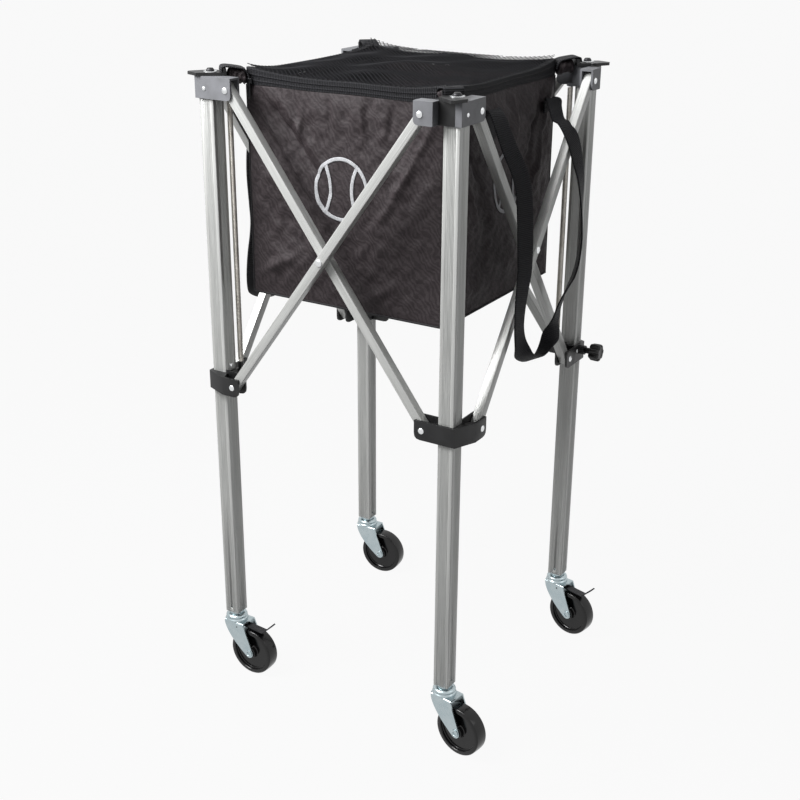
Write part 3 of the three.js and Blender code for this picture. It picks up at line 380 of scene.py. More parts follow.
grey_nylon, tree, skin, place = stuff("grey_moulded_nylon", "#65666a", 0.4)
# Moulding grain of about 0.8 mm, and cloudier flow marks some 25 mm across
grain = node(tree, "ShaderNodeTexNoise", {"Scale": 1300.0, "Detail": 4.0}, Vector=place)
clouds = node(tree, "ShaderNodeTexNoise", {"Scale": 40.0, "Detail": 3.0}, Vector=place)
patterned(tree, skin, clouds, None, ("#5f6063", "#6e6f73"))
patterned(tree, skin, grain, (0.42, 0.6), None, (0.35, 0.00006))

black_nylon, tree, skin, place = stuff("black_moulded_nylon", "#141415", 0.42, Specular_IOR_Level=0.35)
# Moulding grain of about 0.9 mm in black, handled smooth in places some 20 mm across
grain = node(tree, "ShaderNodeTexNoise", {"Scale": 1100.0, "Detail": 4.0}, Vector=place)
clouds = node(tree, "ShaderNodeTexNoise", {"Scale": 55.0, "Detail": 2.0}, Vector=place)
patterned(tree, skin, clouds, (0.34, 0.55), ("#101011", "#1b1b1c"))
patterned(tree, skin, grain, None, None, (0.3, 0.00005))


def softened(made, name, round_off, segments, sharper):
    """Rounds off every edge that is sharper than an angle in degrees."""
    bevel = made.modifiers.new(name, "BEVEL")
    bevel.width, bevel.segments, bevel.limit_method = round_off * MM, segments, "ANGLE"
    bevel.angle_limit, bevel.harden_normals = math.radians(sharper), True


def rounded(name, source, round_off, material, body, segments=2):
    """A copy of a carried-over solid, with its doubles merged, its flats made whole and its edges bevelled."""
    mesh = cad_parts[source].data.copy()
    mesh.name = name
    work = bmesh.new()
    work.from_mesh(mesh)
    bmesh.ops.remove_doubles(work, verts=work.verts, dist=same_spot_metres)
    bmesh.ops.dissolve_limit(work, angle_limit=math.radians(flat_degrees), verts=work.verts, edges=work.edges)
    work.to_mesh(mesh)
    work.free()
    if "custom_normal" in mesh.attributes:
        mesh.attributes.remove(mesh.attributes["custom_normal"])
    mesh.materials.clear()
    mesh.materials.append(material)
    mesh.shade_smooth()
    made = set_down(name, mesh)
    softened(made, "rounded_edges", round_off, segments, edge_degrees)
    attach(made, body)
    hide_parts(source)


bracket_heads = (rivet_head(leg_rivet_radius, leg_rivet_dome, "x", (bracket_outer, 0, top_pivot)),
                 rivet_head(pivot_radius, pivot_dome, "x", (bracket_outer, pivot_reach, top_pivot)),
                 rivet_head(pivot_radius, pivot_dome, "-y", (-pivot_reach, -bracket_front, top_pivot)))
for quarter, leg in enumerate(legs):
    rounded("bracket_body_" + leg, "bracket_" + leg, bracket_edge, grey_nylon, "leg_" + leg)
    piece("bracket_rivets_" + leg, [closed(form, quarter, corner) for form in bracket_heads], rivet_steel,
          "leg_" + leg)


# The corner hooks are black nylon, screwed down on the leg's end over a plain washer. The hook's inner lip
# carries the bag's corner loop.
hook_top, hook_edge = 921.8, 0.6
washer_radius, washer_rise, washer_hole, washer_ease = 9.0, 1.1, 4.6, 0.3
screw_foot, screw_sunk, screw_edge, screw_flat, screw_round, screw_dome = 5.5, 0.2, 0.8, 1.2, 4.3, 3.2
screw_rise, socket_radius, socket_depth, screw_overlap = 4.0, 2.4, 2.2, 0.1

blackened, tree, skin, place = stuff("blackened_steel", "#2c2c2e", 0.38, metallic=0.85)
# Phosphate finish, cloudy over some 4 mm
clouds = node(tree, "ShaderNodeTexNoise", {"Scale": 260.0, "Detail": 4.0}, Vector=place)
patterned(tree, skin, clouds, (0.28, 0.5), ("#29292b", "#3a3a3c"), (0.2, 0.00005))

rim = washer_radius + screw_overlap
washer = turned_profile([washer_hole, washer_radius - washer_ease, rim, rim, washer_hole],
                        hook_top + np.array([washer_rise, washer_rise, washer_rise - washer_ease, -screw_overlap,
                                             -screw_overlap]))
bend = np.linspace(0, 1.35, 7)
under, shoulder, top = (hook_top + washer_rise + rise for rise in (-screw_sunk, screw_edge, screw_rise))
screw = turned_profile(np.concatenate(([screw_foot, screw_foot + screw_overlap],
                                       screw_flat + screw_round * np.cos(bend), [socket_radius, socket_radius, 0.4])),
                       np.concatenate(([under, shoulder], shoulder + screw_dome * np.sin(bend),
                                       [top - screw_overlap, top - socket_depth, top - socket_depth - screw_overlap])))
for quarter, leg in enumerate(legs):
    rounded("hook_body_" + leg, "hook_" + leg, hook_edge, black_nylon, "leg_" + leg)
    piece("hook_washer_" + leg, [closed(washer, quarter, corner, looped=True)], rivet_steel, "leg_" + leg)
    piece("hook_screw_" + leg, [closed(screw, quarter, corner)], blackened, "leg_" + leg)


# The sliders are black nylon sleeves that run on the legs, with a flared arm for the outer bar and a flush
# arm for the inner one. The back right one has a boss for the clamp's screw, riveted on.
slider_outer, slider_front, slider_edge = 15.6, 29.15, 0.8
boss_rivet_radius, boss_rivet_dome, boss_rivet_spread, clamp_height = 2.4, 1.2, 9.8, 493.5

slider_heads = [rivet_head(pivot_radius, pivot_dome, "x", (slider_front, pivot_reach, low_pivot)),
                rivet_head(pivot_radius, pivot_dome, "-y", (-pivot_reach, -slider_outer, low_pivot))]
boss_heads = [rivet_head(boss_rivet_radius, boss_rivet_dome, "-y", (spread, -slider_outer, clamp_height))
              for spread in (-boss_rivet_spread, boss_rivet_spread)]
for quarter, leg in enumerate(legs):
    rounded("slider_body_" + leg, "slider_" + leg, slider_edge, black_nylon, "slider_" + leg)
    heads = slider_heads + (boss_heads if leg == "back_right" else [])
    piece("slider_rivets_" + leg, [closed(form, quarter, corner) for form in heads], rivet_steel, "slider_" + leg)


# The clamp knob is a black moulded handwheel with seven lobes on a screw. It runs through the back right
# slider's boss and bears on the leg.
lobe_depth, lobes, lobe_start, lobe_fade = 3.4, 7, 8.5, 4
knob_start, boss_end = 33.5, 24.6
stem_radius, screw_radius, screw_start = 4.5, 3.5, 12.1

# The handwheel's outline: its height over the knob's start, and its radius there
along = np.array([0, 0, 0.6, 1.8, 3.0, 9.0, 13.6, 15.2, 16.3, 16.9, 17.0, 16.6, 16.2, 16.2])
reach = np.array([4.4, 10.6, 11.9, 12.9, 13.2, 13.5, 13.4, 12.8, 11.6, 9.8, 8.2, 7.4, 6.4, 0.5])[:, None]
angle = np.linspace(0, 2 * np.pi, 128, endpoint=False)
lobed = lobe_depth * (0.5 - 0.5 * np.cos(angle * lobes)) ** 1.6 * np.clip((reach - lobe_start) / lobe_fade, 0, 1)
knob = np.stack(((reach - lobed) * np.cos(angle), (reach - lobed) * np.sin(angle),
                 knob_start + along[:, None] + 0 * angle), -1)
stem = turned_profile([screw_radius, screw_radius, stem_radius - 0.4, stem_radius, stem_radius],
                      [screw_start, boss_end, boss_end + 0.3, boss_end + 0.7, knob_start + 0.5])
piece("clamp_handwheel", [closed(facing(form, "-y", (0, 0, clamp_height)), legs.index("back_right"), corner)
                          for form in (knob, stem)], black_nylon, "clamp_knob", ["clamp_knob"],
      crease=50)


# Every leg has a close-wound extension spring inside its corner. In this model it is two coils, one inside
# the other: the outer hangs from the bracket's lug and the inner stands on the slider's post, so that the
# pair still fills the space when the slider runs down. The real wire is thinner, and is drawn 2 mm thick.
spring_offset = 23.5 / math.sqrt(2)
spring_low, spring_high = 511.9, 888.1
coil_step, coil_sides = 14, 6
outer_coil, outer_wire, inner_coil, inner_wire = 3.1, 2.0, 1.2, 1.3

spring_steel, tree, skin, place = stuff("drawn_spring_steel", "#b9b5ae", 0.36, metallic=0.7)
# Oil-tempered wire: straw and grey patches over some 12 mm of the coil
patches = node(tree, "ShaderNodeTexNoise", {"Scale": 85.0, "Detail": 3.0}, Vector=place)
patterned(tree, skin, patches, (0.3, 0.46), ("#aca79f", "#c6c2bb"))


def coil(radius, wire):
    """A wire wound touching itself: the centre climbs one wire's thickness a turn, and the wire's round
    section lies across it."""
    turns = int((spring_high - spring_low) / wire) - 1
    climb = np.linspace(0, 1, turns * coil_step + 1)[:, None]
    angle = climb * turns * 2 * np.pi
    section = np.linspace(0, 2 * np.pi, coil_sides, endpoint=False)[None, :]
    out = radius + wire / 2 * np.cos(section)
    rise = spring_low + wire / 2 + climb * (spring_high - spring_low - wire) + wire / 2 * np.sin(section)
    return np.stack((out * np.cos(angle) - spring_offset, out * np.sin(angle) + spring_offset, rise), -1)


for quarter, leg in enumerate(legs):
    piece("spring_outer_coil_" + leg, [closed(coil(outer_coil, outer_wire), quarter, corner)], spring_steel,
          "leg_" + leg, ["spring_" + leg])
    piece("spring_inner_coil_" + leg, [closed(coil(inner_coil, inner_wire), quarter, corner)], spring_steel,
          "slider_" + leg)


# The casters swivel under the legs' feet: a pressed zinc-plated fork, a double ball race closed between
# stamped rings, and a moulded wheel on a hollow rivet. Two have a brake lever.
headings = {"front_right": -9.5, "back_right": -10.4, "back_left": 3.4, "front_left": -0.5}
trail, axle_height, crown_height = 32.7, 37.5, 86.0
stem_edge, brake_edge, sheared_edge = 0.4, 0.5, 0.3

zinc, tree, skin, place = stuff("zinc_plated_steel", "#adb9bc", 0.26, metallic=1.0)
# Passivated zinc: a faint bluish cloud some 12 mm across over a fine matt tooth of 0.7 mm
spangle = node(tree, "ShaderNodeTexNoise", {"Scale": 85.0, "Detail": 2.0}, Vector=place)
tooth = node(tree, "ShaderNodeTexNoise", {"Scale": 1500.0, "Detail": 2.0}, Vector=place)
patterned(tree, skin, spangle, (0.24, 0.34), ("#a9b6ba", "#b3bec1"))
patterned(tree, skin, tooth, None, None, (0.05, 0.00003))

wheel_plastic, tree, skin, place = stuff("black_moulded_polypropylene", "#0b0b0c", 0.16, Specular_IOR_Level=0.36)
# Moulded smooth, with dust that dulls it in patches of some 17 mm
dust = node(tree, "ShaderNodeTexNoise", {"Scale": 60.0, "Detail": 4.0}, Vector=place)
patterned(tree, skin, dust, (0.1, 0.22), ("#09090a", "#100f10"), (0.06, 0.0001))


def caster_put(points, leg):
    """Points of a caster's own frame, where the wheel trails towards +x, turned to its heading under its leg."""
    spot = np.array(((half, -half, 0), (half, half, 0), (-half, half, 0), (-half, -half, 0)))[legs.index(leg)]
    return turned(points, math.radians(headings[leg])) + spot


# The wheel's half profile, from the bore over the hub, the recessed web and the rim to the tread
bend = np.linspace(0, math.pi / 2, 7)
half_radii = np.concatenate(([4.3, 8.9, 9.5, 10.0, 10.9, 28.9, 29.6, 30.3, 30.8, 34.6], 34.9 + 2.2 * np.sin(bend),
                             [37.4]))
half_offsets = np.concatenate(([12.8, 12.8, 12.2, 7.0, 6.0, 6.0, 6.7, 9.9, 10.5, 10.5], 8.2 + 2.2 * np.cos(bend),
                               [4.0]))
wheel = facing(turned_profile(np.concatenate((half_radii, [axle_height], half_radii[::-1])),
                              np.concatenate((half_offsets, [0.0], -half_offsets[::-1])), 96), "-y",
               (trail, 0, axle_height))
# The hollow axle rivet, from the bottom of one dimple over its head and along its shank to the other
axle_radii = np.array([0.5, 2.3, 2.6, 3.1, 5.4, 6.0, 6.0, 4.0])
axle_reach = np.array([14.4, 14.4, 15.9, 16.7, 16.5, 16.0, 15.4, 15.4])
axle = facing(turned_profile(np.concatenate((axle_radii, axle_radii[::-1])),
                             np.concatenate((axle_reach, -axle_reach[::-1])), 32), "-y", (trail, 0, axle_height))
# The race: the lower ring, the groove, the crowned upper ring and the way down its bore
race_radii = [5.7, 17.3, 17.5, 17.1, 15.7, 15.35, 15.6, 16.4, 16.5, 15.9, 14.2, 12.0, 11.2, 9.0, 5.7]
race_heights = [85.9, 85.9, 86.6, 87.9, 88.8, 89.6, 90.4, 91.3, 92.2, 93.7, 95.0, 95.75, 95.8, 95.7, 95.7]
race = turned_profile(race_radii, race_heights, 64)
flange = turned_profile([5.2, 10.2, 10.6, 10.6, 10.2, 5.2], [95.85, 95.85, 96.2, 99.3, 99.75, 99.75])

# The fork is one pressing: a flat crown whose sides bend down into two cheeks that narrow to the axle
fork_outside, fork_sheet, fork_bend, fork_foot = 15.2, 2.0, 3.2, 7.5
crown_front, crown_rear, cheek_front, foot_front, foot_rear = -16.5, 23.0, -12.5, 31.5, 40.15
front_slope, front_bow = 0.15, 2.2


def fork_grid():
    """Rows run over the sheet from one cheek's foot over the crown to the other foot. Each row is a thin loop
    from the sheet's front edge to its rear edge and back. The crown's front edge is a part of an ellipse,
    a cheek's is a line bent by a power and a sine, and the foot is a circle round the axle."""
    flat = np.linspace(0, fork_outside - fork_bend, 7)
    fold = np.linspace(0, math.pi / 2, 8)[1:]
    bend_height, inner_bend = crown_height - fork_bend, fork_bend - fork_sheet
    foot_turn = np.linspace(math.asin((axle_height - foot_front) / fork_foot), math.pi / 2 - 0.08, 9)[1:]
    fall = np.concatenate((np.linspace(bend_height, foot_front, 30)[1:], axle_height - fork_foot * np.sin(foot_turn)))
    across = np.concatenate((flat, fork_outside - fork_bend * (1 - np.sin(fold)), np.full(len(fall), fork_outside)))
    height = np.concatenate((np.full(len(flat), crown_height), bend_height + fork_bend * np.cos(fold), fall))
    across_in = np.concatenate((flat, fork_outside - fork_bend + inner_bend * np.sin(fold),
                                np.full(len(fall), fork_outside - fork_sheet)))
    height_in = np.concatenate((np.full(len(flat), crown_height - fork_sheet),
                                bend_height + inner_bend * np.cos(fold), fall))
    share = np.clip((bend_height - height) / (bend_height - foot_front), 0, 1)
    chord = np.sqrt(np.clip(fork_foot ** 2 - (height - axle_height) ** 2, 0.01, None))
    reach = trail - math.sqrt(fork_foot ** 2 - (foot_front - axle_height) ** 2) - cheek_front
    front = cheek_front + reach * (front_slope * share + (1 - front_slope) * share ** 1.5)
    front = np.where(height < foot_front, trail - chord, front - front_bow * np.sin(math.pi * share))
    ellipse = 1 - (cheek_front / crown_front) ** 2
    front = np.where(share > 0, front, crown_front * np.sqrt(1 - ellipse * (across / fork_outside) ** 2))
    rear_foot = trail + math.sqrt(fork_foot ** 2 - (foot_rear - axle_height) ** 2)
    rear = crown_rear + (rear_foot - crown_rear) * np.clip((bend_height - height) / (bend_height - foot_rear), 0, 1)
    rear = np.where(height < foot_rear, trail + chord, rear)
    columns = front[:, None] + (rear - front)[:, None] * np.linspace(0, 1, 11)
    outer = np.stack((columns, across[:, None] + 0 * columns, height[:, None] + 0 * columns), -1)
    inner = np.stack((columns, across_in[:, None] + 0 * columns, height_in[:, None] + 0 * columns), -1)[:, ::-1]
    side = np.concatenate((outer, inner), 1)
    return np.concatenate((side[1:][::-1] * (1.0, -1.0, 1.0), side))


for leg in legs:
    fork_body = "caster_" + leg
    pressing = piece("fork_pressing_" + leg, [closed(caster_put(fork_grid(), leg))], zinc, fork_body,
                     ["fork_" + leg], crease=50)
    softened(pressing, "sheared_edges", sheared_edge, 2, 60)
    piece("race_rings_" + leg, [closed(caster_put(race, leg), looped=True)], zinc, fork_body, crease=50)
    piece("axle_rivet_" + leg, [closed(caster_put(axle, leg))], zinc, fork_body, ["axle_" + leg])
    piece("wheel_moulding_" + leg, [closed(caster_put(wheel, leg), looped=True)], wheel_plastic, "wheel_" + leg,
          ["wheel_" + leg], crease=30)
    rounded("stem_body_" + leg, "stem_" + leg, stem_edge, zinc, "leg_" + leg)
    piece("stem_flange_" + leg, [closed(caster_put(flange, leg), looped=True)], zinc, "leg_" + leg)
for leg in ("back_right", "front_left"):
    rounded("brake_lever_" + leg, "brake_" + leg, brake_edge, blackened, "brake_" + leg)


# The bag is a square sack of plain-woven polyester, sewn from four walls and a base. The walls bow outwards,
# crease from the corners they hang by, and roll round soft corners.
bag_half, bag_low, bag_high = 155.0, 616.9, 905.0
side_bulge, corner_roll, corner_lean, cloth_thickness = 6.0, 6.0, 1.5, 1.0
crease_gain, gather_rise, gather_fade, ripple_rise, crumple_rise = 2.0, 2.4, 45.0, 2.4, 0.8
print_middle, print_hold, print_ease = (2.0, 782.0), 58.0, 0.7
wall_short, fold_keep = 0.2, 0.103
east, south = middle.x + bag_half * MM, middle.y - bag_half * MM
wall_rides = {"right": ("front_right", (0, 1, 0), south), "back": ("back_right", (1, 0, 0), east),
              "left": ("front_left", (0, 1, 0), south), "front": ("front_right", (1, 0, 0), east)}

polyester, tree, skin, place = stuff("woven_polyester", "#2b2627", 0.6, Specular_IOR_Level=0.22)
# Plain weave. The real threads are about 0.3 mm apart, too fine for the picture, so they are drawn at 1.1 mm.
# Threads run level and upright: the upright ones are counted along x + y, which grows along every wall.
thread_pitch = 1.1


def threads(tree, source, pitch):
    """One wave of a sine for every pitch of a coordinate, for threads and ribs."""
    turns = node(tree, "ShaderNodeMath", {"operation": "MULTIPLY"}, source, 2 * math.pi / pitch)
    return node(tree, "ShaderNodeMath", {"operation": "SINE"}, turns)


parts = node(tree, "ShaderNodeSeparateXYZ", Vector=place).outputs
level = node(tree, "ShaderNodeMath", {"operation": "ADD"}, parts["X"], parts["Y"])
weave = node(tree, "ShaderNodeMath", {"operation": "MULTIPLY"}, threads(tree, level, thread_pitch * MM),
             threads(tree, parts["Z"], thread_pitch * MM))
crumple = node(tree, "ShaderNodeTexNoise", {"Scale": 38.0, "Detail": 6.0, "Roughness": 0.6}, Vector=place)
# Small crumples are some 26 mm across. Wavy diagonal bands some 8 mm apart are painted lighter and darker
# in the cloth's colour: painted highlights of fine ripples.
ripple_highlight_bands = node(tree, "ShaderNodeTexWave", {"bands_direction": "DIAGONAL", "Scale": 62.0, "Distortion": 13.0,
                                           "Detail": 2.0, "Detail Scale": 0.8}, Vector=place)
patterned(tree, skin, ripple_highlight_bands.outputs["Fac"], None, ("#251f21", "#312b2d"))
patterned(tree, skin, crumple, (0.5, 0.7))
fine = node(tree, "ShaderNodeBump", {"Strength": 0.35, "Distance": 0.0002}, Height=weave)
broad = node(tree, "ShaderNodeBump", {"Strength": 0.8, "Distance": 0.004}, Height=crumple, Normal=fine)
tree.links.new(broad.outputs[0], skin.inputs["Normal"])


def ripples(across, up, seed, count, shortest, longest):
    """A field of creases: sine waves of seeded length, direction and phase, added up to about one."""
    draw = np.random.default_rng(seed)
    total = 0.0
    for length, turn, start in draw.uniform((shortest, 0, 0), (longest, 2 * np.pi, 2 * np.pi), (count, 3)):
        total = total + np.sin((across * np.cos(turn) + up * np.sin(turn)) * 2 * np.pi / length + start)
    return total / math.sqrt(count)


def ridge(across, up, start, end, width, height):
    """One soft ridge along a line from start to end: a bell across the line, fading at both ends."""
    run = np.array(end, float) - np.array(start, float)
    reach = np.linalg.norm(run)
    way = run / reach
    along = ((across - start[0]) * way[0] + (up - start[1]) * way[1]) / reach
    off = (across - start[0]) * way[1] - (up - start[1]) * way[0]
    fade = np.clip(along * 6, 0, 1) * np.clip((1 - along) * 3, 0, 1)
    return height * np.exp(-(off / width) ** 2) * fade


# Creases of each wall in its own millimetres: along from -155 to 155 and up from 617 to 905, seen from outside
wall_creases = {
    "front": (((-150, 902), (20, 690), 5, 3.2), ((-132, 903), (30, 725), 4, -2.6), ((-110, 904), (10, 770), 5, 2.2),
              ((150, 900), (60, 740), 6, 2.6), ((128, 902), (70, 800), 5, -2.0), ((-152, 640), (-60, 690), 7, 2.4),
              ((-150, 760), (-90, 700), 6, 1.8), ((20, 622), (90, 668), 8, 2.2), ((-60, 903), (-66, 840), 5, 2.0),
              ((-20, 903), (-14, 850), 4, -1.8), ((30, 903), (36, 846), 5, 2.0), ((80, 903), (72, 850), 5, -1.8)),
    "right": (((-150, 900), (-70, 720), 6, 3.0), ((-128, 902), (-60, 770), 5, -2.2), ((150, 900), (40, 700), 5, 2.8),
              ((120, 902), (50, 780), 5, -2.0), ((-60, 903), (-56, 850), 4, 1.8), ((20, 903), (26, 840), 5, 2.0),
              ((-140, 660), (-40, 640), 8, 2.2), ((60, 622), (130, 690), 7, 2.4)),
    "back": (((-150, 900), (0, 700), 5, 3.0), ((150, 900), (10, 720), 6, 2.8), ((-30, 903), (-26, 850), 5, 2.0),
             ((60, 903), (54, 845), 5, -2.0), ((-100, 630), (0, 680), 7, 2.2)),
    "left": (((-150, 900), (-20, 710), 6, 3.0), ((150, 900), (30, 690), 5, 2.8), ((0, 903), (6, 848), 5, 2.0),
             ((-80, 903), (-74, 850), 5, -1.8), ((90, 630), (0, 670), 7, 2.2)),
}


def wall_points(side, along, up, proud=0.0):
    """Points of a wall in its side's frame. It stands bulge x (1 - u squared) x (1 - v squared) outside the
    flat, plus its creases and ripples, which the stiff print holds flatter, and its last strip rolls a
    quarter circle round the corner."""
    u = along / bag_half
    v = 2 * (up - bag_low) / (bag_high - bag_low) - 1
    inside = np.clip(1 - u ** 6, 0, 1) * np.clip(1 - np.abs(v) ** 8, 0, 1)
    out = side_bulge * (1 - u ** 2) * (1 - v ** 2)
    shape = sum(ridge(along, up, *each) for each in wall_creases[side])
    rim = np.exp(-(bag_high - up) / gather_fade)
    gathers = gather_rise * rim * ripples(along, 0 * up, len(side) * 7, 5, 26.0, 52.0)
    seed = sides.index(side) + 11
    shape = crease_gain * shape + gathers + ripple_rise * ripples(along, up, seed, 11, 50.0, 140.0)
    shape = shape + crumple_rise * ripples(along, up, seed + 20, 12, 15.0, 34.0)
    printed = np.hypot(along - print_middle[0], up - print_middle[1]) / print_hold
    shape = shape * (1 - print_ease * np.exp(-printed ** 4))
    past = np.clip(np.abs(along) - (bag_half - corner_roll), 0, corner_roll)
    rolled = corner_roll - np.sqrt(corner_roll ** 2 - past ** 2)
    lean = corner_lean * (1 - v ** 2) * np.abs(u) ** 12
    return np.stack((bag_half + out + shape * inside - rolled - lean + proud, along, up), -1)


def cloth(points, quarter=0):
    """An open sheet over a grid of millimetre points, put in its place. Its columns run to the left of its
    rows, seen from outside."""
    index = np.arange(points.shape[0] * points.shape[1]).reshape(points.shape[:2])
    return put(points, quarter).reshape(-1, 3), [cells(index)]


def thickened(made, thickness):
    """Gives an open sheet its thickness, inwards from the side that shows."""
    layer = made.modifiers.new("cloth_thickness", "SOLIDIFY")
    layer.thickness, layer.offset, layer.use_rim = thickness * MM, -1.0, True


def crumpled(made):
    """Gives a soft piece its own copy of its mesh."""
    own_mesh(made)


roll_end = bag_half - corner_roll * (1 - math.cos(math.pi / 4))
for quarter, side in enumerate(sides):
    along, up = np.meshgrid(np.linspace(-roll_end, roll_end, 149), np.linspace(bag_low, bag_high - wall_short, 137))
    wall = piece("bag_wall_cloth_" + side, [cloth(wall_points(side, along, up), quarter)], polyester,
                 "leg_" + wall_rides[side][0], ["bag_wall_" + side], crease=180)
    thickened(wall, cloth_thickness)
    crumpled(wall)


# The print on the front and right walls is a plain ball: a ring with two seam curves, screen-printed in pale
# grey. It lies on the wall's own surface, just proud of the cloth.
print_radius, print_line, print_proud, print_thickness = 40.0, 5.0, 0.6, 0.2
curve_middle, curve_reach, curve_height, curve_swing = 1.5, 1.08, 1.36, 0.62

print_ink, tree, skin, place = stuff("pale_screen_print_ink", "#a8a9ab", 0.55, Specular_IOR_Level=0.3)
# Ink laid thinly over the weave: its cover is a little uneven every 2 mm
cover = node(tree, "ShaderNodeTexNoise", {"Scale": 500.0, "Detail": 4.0}, Vector=place)
patterned(tree, skin, cover, (0.5, 0.7), ("#96979a", "#b5b6b9"), (0.4, 0.0003))


def printed_line(side, along, up, width):
    """A printed line on a wall: each point of its middle line is widened square to the line, both ways."""
    slope = np.stack((np.gradient(up), -np.gradient(along)))
    slope = slope / np.linalg.norm(slope, axis=0) * width / 2
    share = np.linspace(-1, 1, 5)[:, None]
    across, height = along + slope[0] * share, up + slope[1] * share
    return wall_points(side, across, height, print_proud)


turns, swing = np.linspace(0, 2 * np.pi, 241), np.linspace(-curve_swing, curve_swing, 81)
lines = [(print_middle[0] + print_radius * np.cos(turns), print_middle[1] + print_radius * np.sin(turns))]
lines += [(print_middle[0] + hand * print_radius * (curve_middle - curve_reach * np.cos(swing)),
           print_middle[1] + print_radius * curve_height * np.sin(swing)) for hand in (-1, 1)]
for side in ("front", "right"):
    forms = [cloth(printed_line(side, along, up, print_line), sides.index(side)) for along, up in lines]
    mark = piece("ball_print_" + side, forms, print_ink, "leg_" + wall_rides[side][0], crease=180)
    thickened(mark, print_thickness)
    crumpled(mark)


# Bound seams: a folded tape is sewn over the raw edges down each corner of the bag and round its base. Both
# lie on the walls' own edges.
seam_radius, hem_rise, hem_proud, seam_proud, seam_short = 1.5, 0.6, 0.2, 0.3, 0.5

binding, tree, skin, place = stuff("black_binding_tape", "#161517", 0.7, Specular_IOR_Level=0.25)
# Ribbed tape, its ribs about 1 mm apart, with the lockstitch showing as small dents
ribs = node(tree, "ShaderNodeTexNoise", {"Scale": 900.0, "Detail": 2.0}, Vector=place)
patterned(tree, skin, ribs, (0.6, 0.8), ("#121113", "#1d1c1e"), (0.5, 0.0003))


def unit(vectors):
    """Vectors brought to length one."""
    return vectors / np.linalg.norm(vectors, axis=-1, keepdims=True)


def cord_along(points, radius):
    """A round binding carried along a run of points, its rings of ten points square to the run."""
    way = unit(np.gradient(points, axis=0))
    first = unit(np.cross(way, np.where(np.abs(way[:, 2:]) > 0.7, (1.0, 0, 0), (0, 0, 1.0))))
    second = np.cross(way, first)
    angle = np.linspace(0, 2 * np.pi, 10, endpoint=False)[None, :, None]
    return points[:, None] + radius * (first[:, None] * np.cos(angle) + second[:, None] * np.sin(angle))


along, up = np.linspace(-roll_end, roll_end, 120), np.linspace(bag_low, bag_high - seam_short, 90)
for quarter, (side, leg) in enumerate(zip(sides, legs)):
    edge = wall_points(side, along, np.full(len(along), bag_low + hem_rise), hem_proud)
    hem = piece("bag_bottom_seam_" + side, [closed(cord_along(edge, seam_radius), quarter)], binding,
                "leg_" + wall_rides[side][0])
    crumpled(hem)
    edge = wall_points(side, np.full(len(up), -roll_end), up, seam_proud)
    piece("bag_corner_seam_" + leg, [closed(cord_along(edge, seam_radius), quarter)], binding, "leg_" + leg)


# The base is one square of the same cloth. It sags under its own weight, most in the middle. It is cut
# in five here, because the legs draw together when the cart folds.
base_sag, base_reach, base_drop, base_ripple, base_crumple = 12.0, 154.0, 0.6, 1.2, 0.3
base_strips = ((95, 155, "leg_front_right", south), (44, 95, "bar_inner_front", south), (-44, 44, "bag", middle.y),
               (-95, -44, "bar_outer_front", south), (-155, -95, "leg_front_left", south))

for number, (low, high, body, anchor) in enumerate(base_strips):
    x, y = np.meshgrid(np.linspace(low, high, 2 + int((high - low) / 3)), np.linspace(-base_reach, base_reach, 105))
    x = np.clip(x, -base_reach, base_reach)
    u, v = x / bag_half, y / bag_half
    inside = (1 - u ** 4) * (1 - v ** 4)
    dip = base_sag * (1 - u ** 2) * (1 - v ** 2) + inside * (base_ripple * ripples(x, y, 41, 9, 40.0, 120.0)
                                                            + base_crumple * ripples(x, y, 42, 9, 14.0, 30.0))
    grid = np.stack((x, y, bag_low - base_drop - dip), -1)[:, ::-1]
    strip = piece(f"bag_base_cloth_{number}", [cloth(grid)], polyester, body, ["bag_base"], crease=180)
    thickened(strip, cloth_thickness)
    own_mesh(strip)


# The top band is a ring of stiffened webbing, folded over the walls' upper edge. Two sewn cords
# run round it, and a flat hem laps inwards under the net.
band_low, band_high, band_inner, band_outer, band_corner = 904.8, 919.0, 153.4, 156.0, 8.0
cord_heights, cord_rise, cord_spread, hem_reach = (908.4, 913.9), 0.9, 0.85, 7.0
loop_lift, left_lift, lift_over, rim_wave, section_step = 8.5, 4.5, 14, 0.5, 0.35

webbing, tree, skin, place = stuff("woven_polypropylene_webbing", "#0f0f10", 0.58, read="UV", Specular_IOR_Level=0.12)
# Ribs across the webbing, 2 mm apart on the real one and drawn at 2.6 mm to show, and lengthwise threads
# every 1.3 mm
rib_pitch, yarn_pitch, yarn_share = 2.6, 1.3, 0.4
parts = node(tree, "ShaderNodeSeparateXYZ", Vector=place).outputs
both = node(tree, "ShaderNodeMath", {"operation": "MULTIPLY_ADD"}, threads(tree, parts["X"], yarn_pitch), yarn_share,
            threads(tree, parts["Y"], rib_pitch))
ribs = node(tree, "ShaderNodeMapRange", {"From Min": -1.4, "From Max": 1.4, "To Min": 0.0, "To Max": 1.0}, Value=both)
# The colour follows the ribs' and threads' height: their crests are painted lighter, as painted highlights over the
# bump.
patterned(tree, skin, ribs, (0.5, 0.68), ("#08080a", "#2c2c2f"), (0.9, 0.0009))


def band_section():
    """The band's section, out along x and up along z: flat inside, two raised cords outside, hem at the top."""
    up = np.linspace(band_low, band_high, 41)
    out = band_outer + sum(cord_rise * np.exp(-((up - height) / cord_spread) ** 2) for height in cord_heights)
    outside = np.column_stack((out, up))
    hem = np.array(((band_outer - 0.4, band_high + 0.5), (band_outer - 1.4, band_high + 0.7),
                    (band_inner - hem_reach, band_high + 0.5), (band_inner - hem_reach, band_high - 0.2),
                    (band_inner + 0.4, band_high - 0.4)))
    return np.concatenate((outside, hem, [(band_inner, band_high - 1.2), (band_inner, band_low)]))


